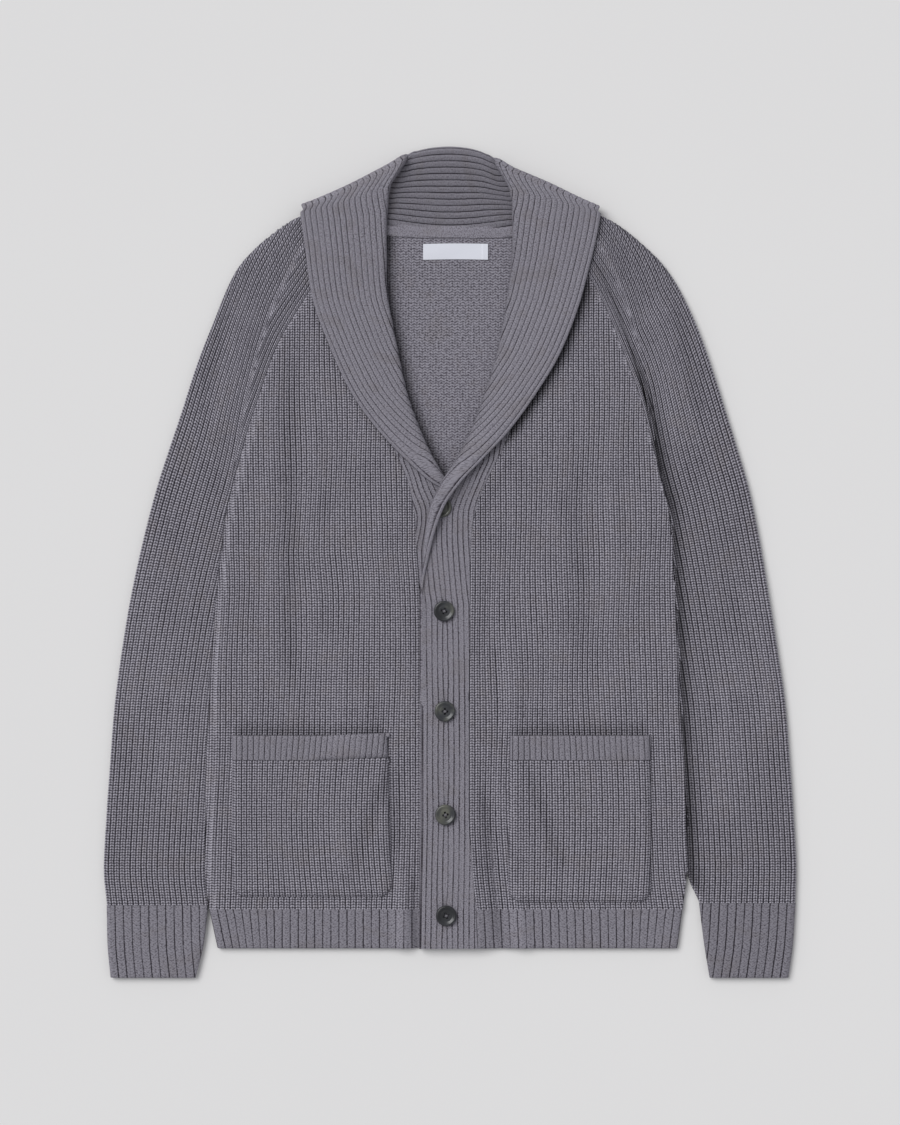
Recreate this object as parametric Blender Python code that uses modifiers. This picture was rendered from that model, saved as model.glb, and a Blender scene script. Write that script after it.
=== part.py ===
"""Shawl collar cardigan, buttoned up and laid flat on its back.

The frame: +X is the wearer's left, +Y runs from the hem to the collar and +Z is up. The table is at
z = 0 and the origin is under the middle of the garment. Tables are in millimetres.

Every panel is a knitted wall. The back lies on the table, the fronts and the under band lie on it,
and the top band, the collar's leaf and the pockets lie on those, one layer step apart. A sleeve and
its cuff are each one wall folded over at the outer edge, with its two edges meeting at the underarm.
The button bands and the collar are one long ribbed strip: up the wearer's right front, round the
back of the neck and down the wearer's left front, folded over from the break upwards.
"""

import math

import bmesh
import bpy
import numpy as np
from mathutils import Vector


def table(names, rows):
    """The columns of a table, by name."""
    return {name: np.array(column, float) for name, column in zip(names.split(), zip(*rows))}


MM = 0.001
WALL = 3.0  # the knitted cloth
GAP = 0.4  # between two layers, and between two edges that a seam joins
LAYER = WALL + GAP  # from the middle of one layer to the middle of the next
FOLD_RADIUS = LAYER / 2  # a wall folded flat on itself
SLEEVE_FOLD = 1.85  # the same for a sleeve
NECK_FOLD = 2.6  # and for the collar, which is fuller at the neck
LEAF_FULLNESS = 3  # the leaf turns over the shoulder on this many times the stand's radius
COLLAR_RAISE = 3.7  # how far the collar's leaf, folded under, holds up the neck of the back
RAISE_FROM = 249.0  # the height on the back where that starts, and where it is full
RAISE_FULL = 297.0
RAISE_SIDE = 185.0  # how far out it has died away, and the width that it takes to
RAISE_FADE = 35.0
BAND_CLIMB = 20.0  # the width in which the left front climbs to the top band
POCKET_CLEAR = 1.0  # a pocket stands this much further off its front
TUBE_BEND = (45, 90, 135)  # degrees: the lines of points round a fold
TUBE_FLAT = (0, 0.25, 0.5, 0.75, 1)  # and across each layer of a sleeve
PANEL_LINES = (0, 0.12, 0.24, 0.36, 0.48, 0.6, 0.72, 0.82, 0.9, 0.95, 1)  # across a front
POCKET_LINES = (0.25, 0.42, 0.58, 0.75)  # across a pocket, between its corners
POCKET_ROWS = (0.3, 0.53, 0.77)
STAND_LINES = (0, 0.5, 1)  # across the collar's stand, and across its leaf
LEAF_LINES = (0, 0.33, 0.67, 1)

RIB_TOP = -329.0  # where the hem rib starts
HEM = -366.0
HEM_SIDES = (-220.0, 216.0)
HEM_SLANT = 2.0  # how far the top band widens down the hem rib
SEAM_STEP = GAP / 2  # half of a seam's gap, taken off each edge

BUTTON_RADIUS = 9.8
BUTTON_THICK = 3.0
BUTTON_DISH = 0.9
BUTTON_SIDES = 20
BUTTONS = table("x y", [(-3.6, 52.5), (-5, -46), (-4.3, -141), (-3.8, -239), (-3, -334.5)])
TOP_BUTTON_TILT = 8.0  # degrees: the top button leans on the slope under the lapel
TOP_BUTTON_LIFT = 2.2

LABEL = {"left": -25.0, "right": 36.5, "low": 287.0, "high": 302.0, "thick": 0.6}

# The courses that every panel, sleeve and band has a row of points at, so that seams match. The side
# is the side seam up to the underarm at 48 and the raglan seam above it. The strip is the seam to
# the button band and collar. Right and left are the wearer's.
BODY = table(
    "y side_r strip_r strip_l side_l",
    [
        (-329, -228.0, -28.0, 25.0, 221.0),
        (-290, -232.0, -27.5, 21.0, 225.0),
        (-240, -231.5, -27.0, 19.0, 224.0),
        (-190, -230.5, -27.0, 19.0, 221.0),
        (-140, -228.5, -27.0, 19.0, 218.5),
        (-90, -225.5, -27.0, 19.0, 216.5),
        (-40, -221.5, -27.5, 19.5, 214.0),
        (10, -216.5, -30.5, 20.0, 211.0),
        (48, -212.0, -33.5, 24.0, 208.0),
        (76, -205.0, -39.0, 34.0, 201.0),
        (97, -199.0, -47.5, 45.0, 196.0),
        (126, -191.0, -60.0, 58.0, 189.0),
        (159, -180.0, -70.0, 71.0, 180.0),
        (202, -165.0, -79.0, 83.0, 164.0),
        (249, -138.0, -85.0, 91.0, 145.0),
        (273, -122.0, -87.0, 92.0, 131.0),
        (297, -105.0, -87.0, 92.0, 114.0),
        (320, -89.0, -83.0, 87.0, 93.0),
    ],
)

# The folded outer edge of each sleeve, opposite each course of its raglan and underarm seams.
SLEEVES = table(
    "y out_rx out_ry out_lx out_ly",
    [
        (-325, -326.0, -325.0, 329.0, -323.0),
        (-290, -329.0, -290.0, 330.0, -290.0),
        (-240, -326.5, -240.0, 327.5, -240.0),
        (-190, -323.0, -190.0, 324.0, -190.0),
        (-140, -319.0, -138.0, 320.0, -138.0),
        (-90, -312.5, -88.0, 313.0, -88.0),
        (-40, -304.0, -36.0, 305.0, -38.0),
        (10, -292.0, 22.0, 295.0, 22.0),
        (48, -281.0, 70.0, 285.0, 70.0),
        (76, -266.0, 109.0, 274.0, 108.0),
        (97, -256.0, 140.0, 265.0, 137.0),
        (126, -243.0, 180.0, 252.0, 178.0),
        (159, -225.0, 226.0, 234.0, 227.0),
        (202, -200.0, 281.0, 206.0, 279.0),
        (249, -153.0, 323.0, 156.0, 323.0),
        (273, -130.5, 333.0, 133.5, 333.0),
        (297, -109.0, 343.0, 112.0, 344.0),
        (320, -83.0, 352.0, 87.0, 353.0),
    ],
)
WRISTS = {"r": (-229.0, -325.0), "l": (237.0, -323.0)}  # the underarm seam at the cuff

# The cuffs, from the sleeve down to the opening.
CUFFS = table(
    "in_rx in_ry out_rx out_ry in_lx in_ly out_lx out_ly",
    [
        (-229.5, -325.5, -326.0, -325.5, 237.5, -323.5, 329.0, -323.5),
        (-233.0, -360.0, -325.0, -360.0, 241.5, -360.0, 326.5, -360.0),
        (-241.0, -394.0, -322.0, -394.0, 247.0, -394.0, 322.0, -394.0),
    ],
)

# The collar strip where it lies on the fronts, one row for each course of its seam. The roll is the
# folded inner edge and the edge is the leaf's free edge. The levels are counted in layers, and open
# says how far the leaf stands off the stand at the roll.
UNDER_LAPEL = table(
    "y roll_x roll_y edge_x edge_y seam_level roll_level edge_level open",
    [
        (48, 3, 72, -6, 68, 1.0, 1.0, 2.1, 1.0),
        (76, -3, 80, -20, 78, 1.0, 1.0, 2.1, 1.0),
        (97, -15, 100, -40, 96, 1.0, 1.0, 2.1, 1.0),
        (126, -29, 131, -70, 128, 1.0, 1.0, 2.2, 1.0),
        (159, -40, 163, -94, 162, 1.0, 1.0, 2.2, 1.0),
        (202, -49, 205, -114, 205, 1.0, 1.0, 2.2, 1.0),
        (249, -57, 249, -130, 250, 1.0, 1.0, 2.2, 1.0),
        (273, -59, 273, -134, 273, 1.0, 1.0, 2.2, 1.0),
        (297, -59, 300, -137, 299, 1.1, 1.1, 2.3, 1.3),
        (320, -58, 336, -140, 322, 1.4, 1.6, 2.8, 1.5),
        (340, -55, 363, -141, 331, 1.8, 2.0, 3.1, 1.55),
    ],
)
TOP_LAPEL = table(
    "y roll_x roll_y edge_x edge_y seam_level roll_level edge_level open",
    [
        (10, -25, 10, -18, 11, 2.0, 2.0, 3.0, 1.0),
        (48, -20, 48, -6, 50, 2.0, 2.5, 4.9, 2.2),
        (76, -9, 74, 12, 77, 2.4, 3.6, 5.4, 1.6),
        (97, 3, 93, 30, 96, 1.8, 2.8, 4.2, 1.2),
        (126, 19, 124, 56, 124, 1.2, 1.8, 3.0, 1.0),
        (159, 32, 158, 81, 158, 1.0, 1.2, 2.3, 1.0),
        (202, 45, 201, 105, 198, 1.0, 1.0, 2.2, 1.0),
        (249, 54, 250, 124, 247, 1.0, 1.0, 2.2, 1.0),
        (273, 57, 273, 131, 273, 1.0, 1.0, 2.2, 1.0),
        (297, 59, 300, 137, 297, 1.1, 1.1, 2.3, 1.3),
        (320, 59, 336, 142, 322, 1.4, 1.6, 2.8, 1.5),
        (340, 56, 363, 143, 330, 1.8, 2.0, 3.1, 1.55),
    ],
)
# Where the strip turns over the shoulder to the back, and behind the neck.
SHOULDERS = table(
    "seam_x seam_y roll_x roll_y edge_x edge_y",
    [
        (-78, 362, -47, 390, -141, 340),
        (81, 362, 50, 390, 143, 338),
    ],
)
BACK_NECK = table(
    "seam_x seam_y roll_x roll_y edge_x edge_y",
    [
        (-70, 330, -31, 394.0, -118, 317),
        (-42, 319, -16, 395.0, -60, 307),
        (1, 313.5, 1, 395.3, 1, 304),
        (44, 319, 18, 395.0, 62, 307),
        (73, 330, 34, 393.5, 120, 317),
    ],
)
SHOULDER_TURNS = (30, 60, 90, 120, 150)  # degrees from the front to the back

# The free edge of the two bands.
TOP_FREE = table("y x", [(-366, -29), (-329, -28.5), (-240, -27), (-40, -27), (10, -25)])
UNDER_FREE = table(  # lead is how much higher its top edge is there than at the seam
    "y x lead",
    [
        (-366, 16, 0),
        (-329, 16, 0),
        (-40, 16, 0),
        (10, 12, 9),
        (48, 3, 24),
    ],
)

# Soft rolls in the cloth: from, to, half of the width, height.
FOLDS = table(
    "x0 y0 x1 y1 half height",
    [
        (-146, 230, -146, -140, 14, 1.6),
        (-45, -280, -44, -410, 7, 2.0),
        (-90, -225, -80, -310, 12, 0.9),
        (56, -60, 60, -175, 12, 1.6),
        (60, -150, 96, -285, 13, 1.0),
        (47, -280, 47, -410, 8, 2.4),
        (120, 150, 150, -60, 16, 1.0),
        (-186, 262, -216, 110, 14, 2.0),
        (192, 262, 226, 100, 14, 1.8),
        (-266, -50, -256, -250, 16, 1.2),
        (270, -60, 264, -260, 16, 1.2),
    ],
)

POCKETS = {
    "right": {"left_top": -206, "left": -206, "right_top": -59, "right": -54, "low": -317},
    "left": {"left_top": 57.5, "left": 55.5, "right_top": 191, "right": 191, "low": -322},
}
POCKET_TOP = -164.0
POCKET_RIB = 23.0
POCKET_CORNER = 11.0

COLOURS = {  # linear RGB, roughness
    "knit": ((0.152, 0.144, 0.170), 0.95),
    "rib": ((0.185, 0.176, 0.205), 0.93),
    "button": ((0.030, 0.030, 0.032), 0.25),
    "label": ((0.72, 0.74, 0.80), 0.80),
}


def smooth(t):
    """0 to 1 with flat ends."""
    t = min(max(t, 0.0), 1.0)
    return t * t * (3 - 2 * t)


def raised(x, y):
    """How far the leaf folded under the neck lifts what lies on it."""
    up = min(max((y - RAISE_FROM) / (RAISE_FULL - RAISE_FROM), 0.0), 1.0)
    in_reach = min(max((RAISE_SIDE - abs(x)) / RAISE_FADE, 0.0), 1.0)
    return COLLAR_RAISE * up * in_reach


def fold_height(x, y):
    """The height of the soft rolls at one place."""
    total = 0.0
    for x0, y0, x1, y1, half, height in zip(*FOLDS.values()):
        along = Vector((x1 - x0, y1 - y0))
        reach = Vector((x - x0, y - y0))
        t = reach.dot(along) / along.length_squared
        off = (reach - along * t).length
        fade = smooth(min(t, 1 - t) / 0.2)
        total += height * fade * math.exp(-((off / half) ** 2))
    return total


def level(layers, x, y):
    """The height of the middle of a wall that lies this many layers up."""
    return WALL / 2 + layers * LAYER + raised(x, y)


def mix(a, b, t):
    return a + (b - a) * t


def at_course(columns, name, y):
    """A column of a table at any height, straight between its rows."""
    return float(np.interp(y, columns["y"], columns[name]))


def new_material(name):
    colour, roughness = COLOURS[name]
    material = bpy.data.materials.new(name)
    material.use_nodes = True
    shader = material.node_tree.nodes["Principled BSDF"]
    shader.inputs["Base Color"].default_value = (*colour, 1)
    shader.inputs["Roughness"].default_value = roughness
    shader.inputs["Metallic"].default_value = 0.0
    material.diffuse_color = (*colour, 1)
    return material


def add_object(name, mesh, finish):
    """An object in the cardigan's collection, with a material of its own."""
    thing = bpy.data.objects.new(name, mesh)
    cardigan.objects.link(thing)
    thing.data.materials.append(new_material(finish))
    thing.data.materials[0].name = f"{finish} of {name}"
    return thing


def knitted(name, across, along, place, finish="knit", wall=WALL, even_walls=True):
    """A knitted piece: a grid bent to the places that place(across, along) gives, and its wall.

    Across and along are the places of the grid's lines, from 0 to 1.
    """
    grid = bmesh.new()
    bmesh.ops.create_grid(grid, x_segments=len(across) - 1, y_segments=len(along) - 1, size=0.5)
    for vert in grid.verts:
        column = round((vert.co.x + 0.5) * (len(across) - 1))
        row = round((vert.co.y + 0.5) * (len(along) - 1))
        vert.co = Vector(place(across[column], along[row])) * MM
    mesh = bpy.data.meshes.new(name)
    grid.to_mesh(mesh)
    grid.free()
    piece = add_object(name, mesh, finish)
    thicken = piece.modifiers.new("Wall", "SOLIDIFY")
    thicken.thickness = wall * MM
    thicken.offset = 0.0
    thicken.use_even_offset = even_walls
    return piece


def even(count):
    """Grid lines at even spacing."""
    return [i / count for i in range(count + 1)]


def add_back():
    """The back, whose top edge follows the collar's seam across the neck."""
    side_r = BODY["side_r"][-1]
    side_l = BODY["side_l"][-1]
    neck_x = [side_r, *BACK_NECK["seam_x"], side_l]
    neck_y = [BODY["y"][-1], *(BACK_NECK["seam_y"] - GAP), BODY["y"][-1]]
    across = [(x - side_r) / (side_l - side_r) for x in neck_x]
    courses = list(BODY["y"])

    def place(s, course):
        left = at_course(BODY, "side_r", course) + SEAM_STEP
        right = at_course(BODY, "side_l", course) - SEAM_STEP
        x = mix(left, right, s)
        y = course
        if course == courses[-1]:
            y = float(np.interp(s, across, neck_y))
        if course == courses[0]:
            y += SEAM_STEP
        return x, y, level(0, x, course)

    knitted("back", across, courses, place)


def left_climb(x, y):
    """How far the left front climbs, in layers, to meet the top band and the lapel's seam."""
    seam = at_course(BODY, "strip_l", y)
    seam_level = at_course(TOP_LAPEL, "seam_level", y)
    return (seam_level - 1) * smooth(1 - (x - seam) / BAND_CLIMB)


def front_height(side, x, y):
    """The middle of a front's wall."""
    climb = left_climb(x, y) if side == "l" else 0.0
    return level(1 + climb, x, y) + fold_height(x, y)


def add_front(name, side):
    """A front, from its side and raglan seams to the strip."""
    inward = 1 if side == "r" else -1

    def place(s, course):
        outer = at_course(BODY, f"side_{side}", course) + SEAM_STEP * inward
        inner = at_course(BODY, f"strip_{side}", course) - SEAM_STEP * inward
        x = mix(outer, inner, s)
        y = course + (SEAM_STEP if course == RIB_TOP else 0)
        return x, y, front_height(side, x, course)

    knitted(name, PANEL_LINES, list(BODY["y"]), place)


def folded_tube(name, rows, place_in, place_out, finish):
    """A wall folded over at its outer edge: the front layer, the fold and the back layer."""
    steps = [("front", t) for t in TUBE_FLAT]
    steps += [("fold", degrees) for degrees in TUBE_BEND]
    steps += [("back", t) for t in TUBE_FLAT[::-1]]

    def place(step, row):
        part, amount = steps[round(step)]
        seam = Vector(place_in(row))
        outer = Vector(place_out(row))
        out = (outer - seam).normalized()
        axis = outer - out * (SLEEVE_FOLD + WALL / 2)
        if part == "fold":
            turn = math.radians(amount)
            spot = axis + out * SLEEVE_FOLD * math.sin(turn)
            height = SLEEVE_FOLD * math.cos(turn)
        else:
            spot = seam.lerp(axis, amount)
            height = SLEEVE_FOLD if part == "front" else -SLEEVE_FOLD
        lift = raised(spot.x, spot.y)
        crease = fold_height(spot.x, spot.y) if part == "front" else 0
        return spot.x, spot.y, WALL / 2 + SLEEVE_FOLD + height + lift + crease

    knitted(name, list(range(len(steps))), rows, place, finish)


def add_sleeve(name, side, outward):
    """A raglan sleeve, whose two edges meet the body's side and raglan seams."""
    courses = list(BODY["y"])

    def seam(course):
        if course == courses[0]:
            return WRISTS[side]
        return at_course(BODY, f"side_{side}", course) + SEAM_STEP * outward, course

    def fold(course):
        index = courses.index(course)
        return SLEEVES[f"out_{side}x"][index], SLEEVES[f"out_{side}y"][index]

    folded_tube(name, courses, seam, fold, "knit")


def add_cuff(name, side):
    rows = list(range(len(CUFFS["in_rx"])))

    def seam(row):
        return CUFFS[f"in_{side}x"][row], CUFFS[f"in_{side}y"][row]

    def fold(row):
        return CUFFS[f"out_{side}x"][row], CUFFS[f"out_{side}y"][row]

    folded_tube(name, rows, seam, fold, "rib")


def add_hem(name, side_top, side_low, inner_top, inner_low, height):
    """A ribbed hem below a panel."""

    def place(s, t):
        top = mix(side_top, inner_top, s)
        low = mix(side_low, inner_low, s)
        y = mix(HEM, RIB_TOP - SEAM_STEP, t)
        x = mix(low, top, t)
        return x, y, height(x, y)

    knitted(name, PANEL_LINES, [0, 1], place, "rib")


def add_hems():
    right, left = HEM_SIDES
    side_r, side_l = BODY["side_r"][0], BODY["side_l"][0]
    strip_r, strip_l = BODY["strip_r"][0], BODY["strip_l"][0]
    by_right_band = strip_r - SEAM_STEP
    by_left_band = strip_l + SEAM_STEP

    def on_table(x, y):
        return level(0, x, y)

    def right_front(x, y):
        return front_height("r", x, y)

    def left_front(x, y):
        return front_height("l", x, y)

    add_hem("hem_rib_back", side_r, right, side_l, left, on_table)
    add_hem("hem_rib_right", side_r, right, by_right_band, by_right_band, right_front)
    add_hem("hem_rib_left", side_l, left, by_left_band, by_left_band + HEM_SLANT, left_front)


def add_top_band():
    """The band with the buttonholes, on the wearer's left front."""
    courses = [HEM] + [y for y in BODY["y"] if y <= TOP_FREE["y"][-1]]

    def place(s, course):
        free = at_course(TOP_FREE, "x", course)
        seam = at_course(BODY, "strip_l", course) - SEAM_STEP
        seam += HEM_SLANT if course == HEM else 0
        x = mix(free, seam, s)
        y = course - (GAP if course == courses[-1] else 0)
        return x, y, level(2, x, y)

    knitted("button_band_left", even(3), courses, place, "rib")


def add_under_band():
    """The band with the buttons, on the wearer's right front."""
    courses = [HEM] + [y for y in BODY["y"] if y <= UNDER_FREE["y"][-1]]

    def place(s, course):
        seam = at_course(BODY, "strip_r", course) + SEAM_STEP
        free = at_course(UNDER_FREE, "x", course)
        lead = at_course(UNDER_FREE, "lead", course)
        x = mix(seam, free, s)
        y = course + lead * s - (GAP if course == courses[-1] else 0)
        return x, y, level(1, x, y)

    knitted("button_band_right", even(3), courses, place, "rib")


def lapel_stations(columns, side, order):
    """The strip's rows on one front.

    Each has its seam, its roll and its edge, the way from the stand to the leaf and the radius of
    the roll. Lie is 1 where the strip lies flat, so that the roll's outside is at the place given,
    and 0 where the place given is the middle of the wall.
    """
    up = Vector((0, 0, 1))
    step = SEAM_STEP if side == "r" else -SEAM_STEP
    stations = []
    for row in order:
        y = columns["y"][row]
        seam_x = at_course(BODY, f"strip_{side}", y) + step
        roll_x, roll_y = columns["roll_x"][row], columns["roll_y"][row]
        edge_x, edge_y = columns["edge_x"][row], columns["edge_y"][row]
        stations.append({
            "seam": Vector((seam_x, y, level(columns["seam_level"][row], seam_x, y))),
            "roll": Vector((roll_x, roll_y, level(columns["roll_level"][row], roll_x, roll_y))),
            "edge": Vector((edge_x, edge_y, level(columns["edge_level"][row], edge_x, edge_y))),
            "way": up,
            "lie": 1.0,
            "radius": FOLD_RADIUS * columns["open"][row],
        })
    return stations


def shoulder_stations(row, turns):
    """The strip's rows as it turns from the front to the back over one shoulder."""
    spots = {name: Vector((SHOULDERS[f"{name}_x"][row], SHOULDERS[f"{name}_y"][row], 0))
             for name in ("seam", "roll", "edge")}
    stand_out = outward(spots["seam"], spots["roll"])
    leaf_out = outward(spots["edge"], spots["roll"])
    roll_out = (stand_out + leaf_out).normalized()
    leaf_radius = NECK_FOLD * LEAF_FULLNESS
    middle = Vector((0, 0, WALL / 2 + leaf_radius))
    stations = []
    for turn in turns:
        stand_way, roll_way, leaf_way = (turned(out, turn) for out in (stand_out, roll_out, leaf_out))
        inset = leaf_radius + WALL / 2
        stations.append({
            "seam": spots["seam"] + middle - stand_out * inset + stand_way * NECK_FOLD,
            "roll": spots["roll"] + middle - roll_out * inset + roll_way * NECK_FOLD,
            "edge": spots["edge"] + middle - leaf_out * inset + leaf_way * leaf_radius,
            "way": roll_way,
            "lie": 0.0,
            "radius": NECK_FOLD,
        })
    return stations


def outward(low, high):
    """The way out of the garment, square to a line of its outline that rises to the neck."""
    run = (high - low).normalized()
    return Vector((-abs(run.y) * math.copysign(1, run.x), abs(run.x), 0))


def turned(out, degrees):
    """A direction that starts up and turns over the outline, out and then down."""
    angle = math.radians(degrees)
    return out * math.sin(angle) + Vector((0, 0, math.cos(angle)))


def back_stations():
    down = Vector((0, 0, -1))
    low = WALL / 2
    high = low + NECK_FOLD * 2
    stations = []
    for seam_x, seam_y, roll_x, roll_y, edge_x, edge_y in zip(*BACK_NECK.values()):
        stations.append({
            "seam": Vector((seam_x, seam_y, high)),
            "roll": Vector((roll_x, roll_y, high)),
            "edge": Vector((edge_x, edge_y, low)),
            "way": down,
            "lie": 1.0,
            "radius": NECK_FOLD,
        })
    return stations


def add_collar():
    """The shawl collar: a strip with a stand, a roll and a leaf, from the under band to the top one."""
    stations = lapel_stations(UNDER_LAPEL, "r", range(len(UNDER_LAPEL["y"])))
    stations += shoulder_stations(0, SHOULDER_TURNS)
    stations += back_stations()
    stations += shoulder_stations(1, SHOULDER_TURNS[::-1])
    stations += lapel_stations(TOP_LAPEL, "l", range(len(TOP_LAPEL["y"]))[::-1])
    steps = [("stand", t) for t in STAND_LINES]
    steps += [("roll", degrees) for degrees in TUBE_BEND]
    steps += [("leaf", t) for t in LEAF_LINES]

    def place(step, row):
        part, amount = steps[round(step)]
        station = stations[round(row)]
        seam, roll, edge, way = (station[key] for key in ("seam", "roll", "edge", "way"))
        flat = Vector((roll.x - seam.x, roll.y - seam.y, 0)).normalized()
        radius = station["radius"]
        base = roll - flat * (radius + WALL / 2) * station["lie"]
        if part == "stand":
            spot = seam.lerp(base, amount)
        elif part == "roll":
            turn = math.radians(amount)
            spot = base + way * radius * (1 - math.cos(turn)) + flat * radius * math.sin(turn)
        else:
            spot = (base + way * radius * 2).lerp(edge, amount)
        return tuple(spot)

    lines = list(range(len(steps)))
    rows = list(range(len(stations)))
    knitted("shawl_collar", lines, rows, place, "rib", even_walls=False)


def pocket_place(side, size, low, high):
    """Places on a pocket, made from its front's own points, moved out."""
    width = size["right"] - size["left"]

    def place(s, t):
        y = mix(low, high, t)
        down = (POCKET_TOP - y) / (POCKET_TOP - size["low"])
        left = mix(size["left_top"], size["left"], down)
        right = mix(size["right_top"], size["right"], down)
        x = mix(left, right, s)
        if t == 0 and s in (0, 1) and low == size["low"]:
            pull = POCKET_CORNER * (1 - math.cos(math.radians(45)))
            x += pull if s == 0 else -pull
            y += pull
        return x, y, front_height(side, x, y) + LAYER + POCKET_CLEAR

    corner = POCKET_CORNER / width
    return place, [0, corner, *POCKET_LINES, 1 - corner, 1]


def add_pocket(name, side, size):
    """A patch pocket with a ribbed top."""
    rib_low = POCKET_TOP - POCKET_RIB
    place, across = pocket_place(side, size, size["low"], rib_low - GAP)
    corner = POCKET_CORNER / (rib_low - size["low"])
    knitted(f"pocket_{name}", across, [0, corner, *POCKET_ROWS, 1], place)
    place, across = pocket_place(side, size, rib_low, POCKET_TOP)
    knitted(f"pocket_rib_{name}", across, [0, 1], place, "rib")


def add_button(name, x, y):
    """A turned button: a flat back, a round rim and a dished face."""
    base = level(2, 0, 0) + WALL / 2 + GAP
    in_the_hollow = y > TOP_FREE["y"][-1]
    if in_the_hollow:
        base += TOP_BUTTON_LIFT
    profile = [
        (0.0, BUTTON_THICK - BUTTON_DISH),
        (0.55, BUTTON_THICK - BUTTON_DISH),
        (0.78, BUTTON_THICK),
        (0.92, BUTTON_THICK),
        (1.0, BUTTON_THICK * 0.6),
        (0.9, 0.0),
        (0.0, 0.0),
    ]
    mesh = bpy.data.meshes.new(name)
    turned = bmesh.new()
    verts = [turned.verts.new((r * BUTTON_RADIUS * MM, 0, z * MM)) for r, z in profile]
    for first, second in zip(verts, verts[1:]):
        turned.edges.new((first, second))
    turned.to_mesh(mesh)
    turned.free()
    button = add_object(name, mesh, "button")
    turn = button.modifiers.new("Turn", "SCREW")
    turn.steps = BUTTON_SIDES
    turn.render_steps = BUTTON_SIDES
    turn.use_merge_vertices = True
    turn.merge_threshold = 0.00001
    turn.use_smooth_shade = True
    button.location = Vector((x, y, base)) * MM
    if in_the_hollow:
        button.rotation_euler.x = math.radians(TOP_BUTTON_TILT)


def add_label():
    """The blank woven label, flat on the inside of the back below the neck."""
    thick = LABEL["thick"]

    def place(s, t):
        x = mix(LABEL["left"], LABEL["right"], s)
        y = mix(LABEL["low"], LABEL["high"], t)
        return x, y, level(0, x, y) + (WALL + thick) / 2 + GAP

    split = (RAISE_FULL - LABEL["low"]) / (LABEL["high"] - LABEL["low"])
    knitted("neck_label", even(2), [0, split, 1], place, "label", thick)


for thing in list(bpy.data.objects):
    bpy.data.objects.remove(thing, do_unlink=True)
cardigan = bpy.data.collections.new("shawl_collar_cardigan")
bpy.context.scene.collection.children.link(cardigan)

add_back()
add_front("front_right", "r")
add_front("front_left", "l")
add_sleeve("sleeve_right", "r", -1)
add_sleeve("sleeve_left", "l", 1)
add_cuff("cuff_right", "r")
add_cuff("cuff_left", "l")
add_hems()
add_under_band()
add_top_band()
add_collar()
add_pocket("right", "r", POCKETS["right"])
add_pocket("left", "l", POCKETS["left"])
for number, (button_x, button_y) in enumerate(zip(*BUTTONS.values()), 1):
    add_button(f"button_{number}", button_x, button_y)
add_label()
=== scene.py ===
# Shawl collar cardigan in chunky ribbed knit, buttoned up and laid flat: its looks, around the frame.
# Lengths are in millimetres, and +X is the wearer's left. Every knitted piece is a grid of wales and
# courses, laid on its solid's form.
import math

import bmesh
import bpy
import numpy as np
from mathutils import Matrix, Vector


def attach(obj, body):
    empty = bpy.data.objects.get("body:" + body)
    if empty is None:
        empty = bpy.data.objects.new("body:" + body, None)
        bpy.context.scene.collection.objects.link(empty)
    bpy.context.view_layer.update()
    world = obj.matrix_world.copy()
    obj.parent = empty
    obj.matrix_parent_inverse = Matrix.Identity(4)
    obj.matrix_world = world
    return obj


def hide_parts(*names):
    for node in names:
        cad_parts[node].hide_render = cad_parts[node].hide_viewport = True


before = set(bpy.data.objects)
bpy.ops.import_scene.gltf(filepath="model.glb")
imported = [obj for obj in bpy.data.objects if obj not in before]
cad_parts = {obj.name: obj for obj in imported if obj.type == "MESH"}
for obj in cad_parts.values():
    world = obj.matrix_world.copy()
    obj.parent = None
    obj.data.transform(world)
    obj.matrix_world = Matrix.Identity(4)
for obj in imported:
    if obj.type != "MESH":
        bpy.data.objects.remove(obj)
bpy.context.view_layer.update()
mm = 0.001


def columns(names, rows):
    return {name: np.array(column, float) for name, column in zip(names.split(), zip(*rows))}


# How the cloth lies. The layers are those of the frame: the back, the fronts on it, the bands on them.
cloth = {
    "wall": 3.0,
    "layer": 3.4,  # from the middle of one layer to the middle of the next
    "shell": 2.2,  # the thickness of the visible shells
    "sleeveFold": 1.85,
    "collarRaise": 3.7,  # the leaf folded under the neck lifts what lies on it
    "raiseFrom": 249.0,
    "raiseFull": 297.0,
    "raiseSide": 185.0,
    "raiseFade": 35.0,
    "bandClimb": 20.0,
    "hemTop": -329.0,
    "hemLow": -366.0,
    "hemRight": -220.0,
    "hemLeft": 216.0,
    "uneven": 0.25,  # no panel lies quite flat
    "ground": 0.05,
}

# Side seam up to the underarm at 48 and raglan seam above it, and the seam to the band and collar.
body = columns(
    "y sideR stripR stripL sideL",
    [
        (-329, -228.0, -28.0, 25.0, 221.0),
        (-290, -232.0, -27.5, 21.0, 225.0),
        (-240, -231.5, -27.0, 19.0, 224.0),
        (-190, -230.5, -27.0, 19.0, 221.0),
        (-140, -228.5, -27.0, 19.0, 218.5),
        (-90, -225.5, -27.0, 19.0, 216.5),
        (-40, -221.5, -27.5, 19.5, 214.0),
        (10, -216.5, -30.5, 20.0, 211.0),
        (48, -212.0, -33.5, 24.0, 208.0),
        (76, -205.0, -39.0, 34.0, 201.0),
        (97, -199.0, -47.5, 45.0, 196.0),
        (126, -191.0, -60.0, 58.0, 189.0),
        (159, -180.0, -70.0, 71.0, 180.0),
        (202, -165.0, -79.0, 83.0, 164.0),
        (249, -138.0, -85.0, 91.0, 145.0),
        (273, -122.0, -87.0, 92.0, 131.0),
        (297, -105.0, -87.0, 92.0, 114.0),
        (320, -89.0, -83.0, 87.0, 93.0),
    ],
)
underarm = 48.0

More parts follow.
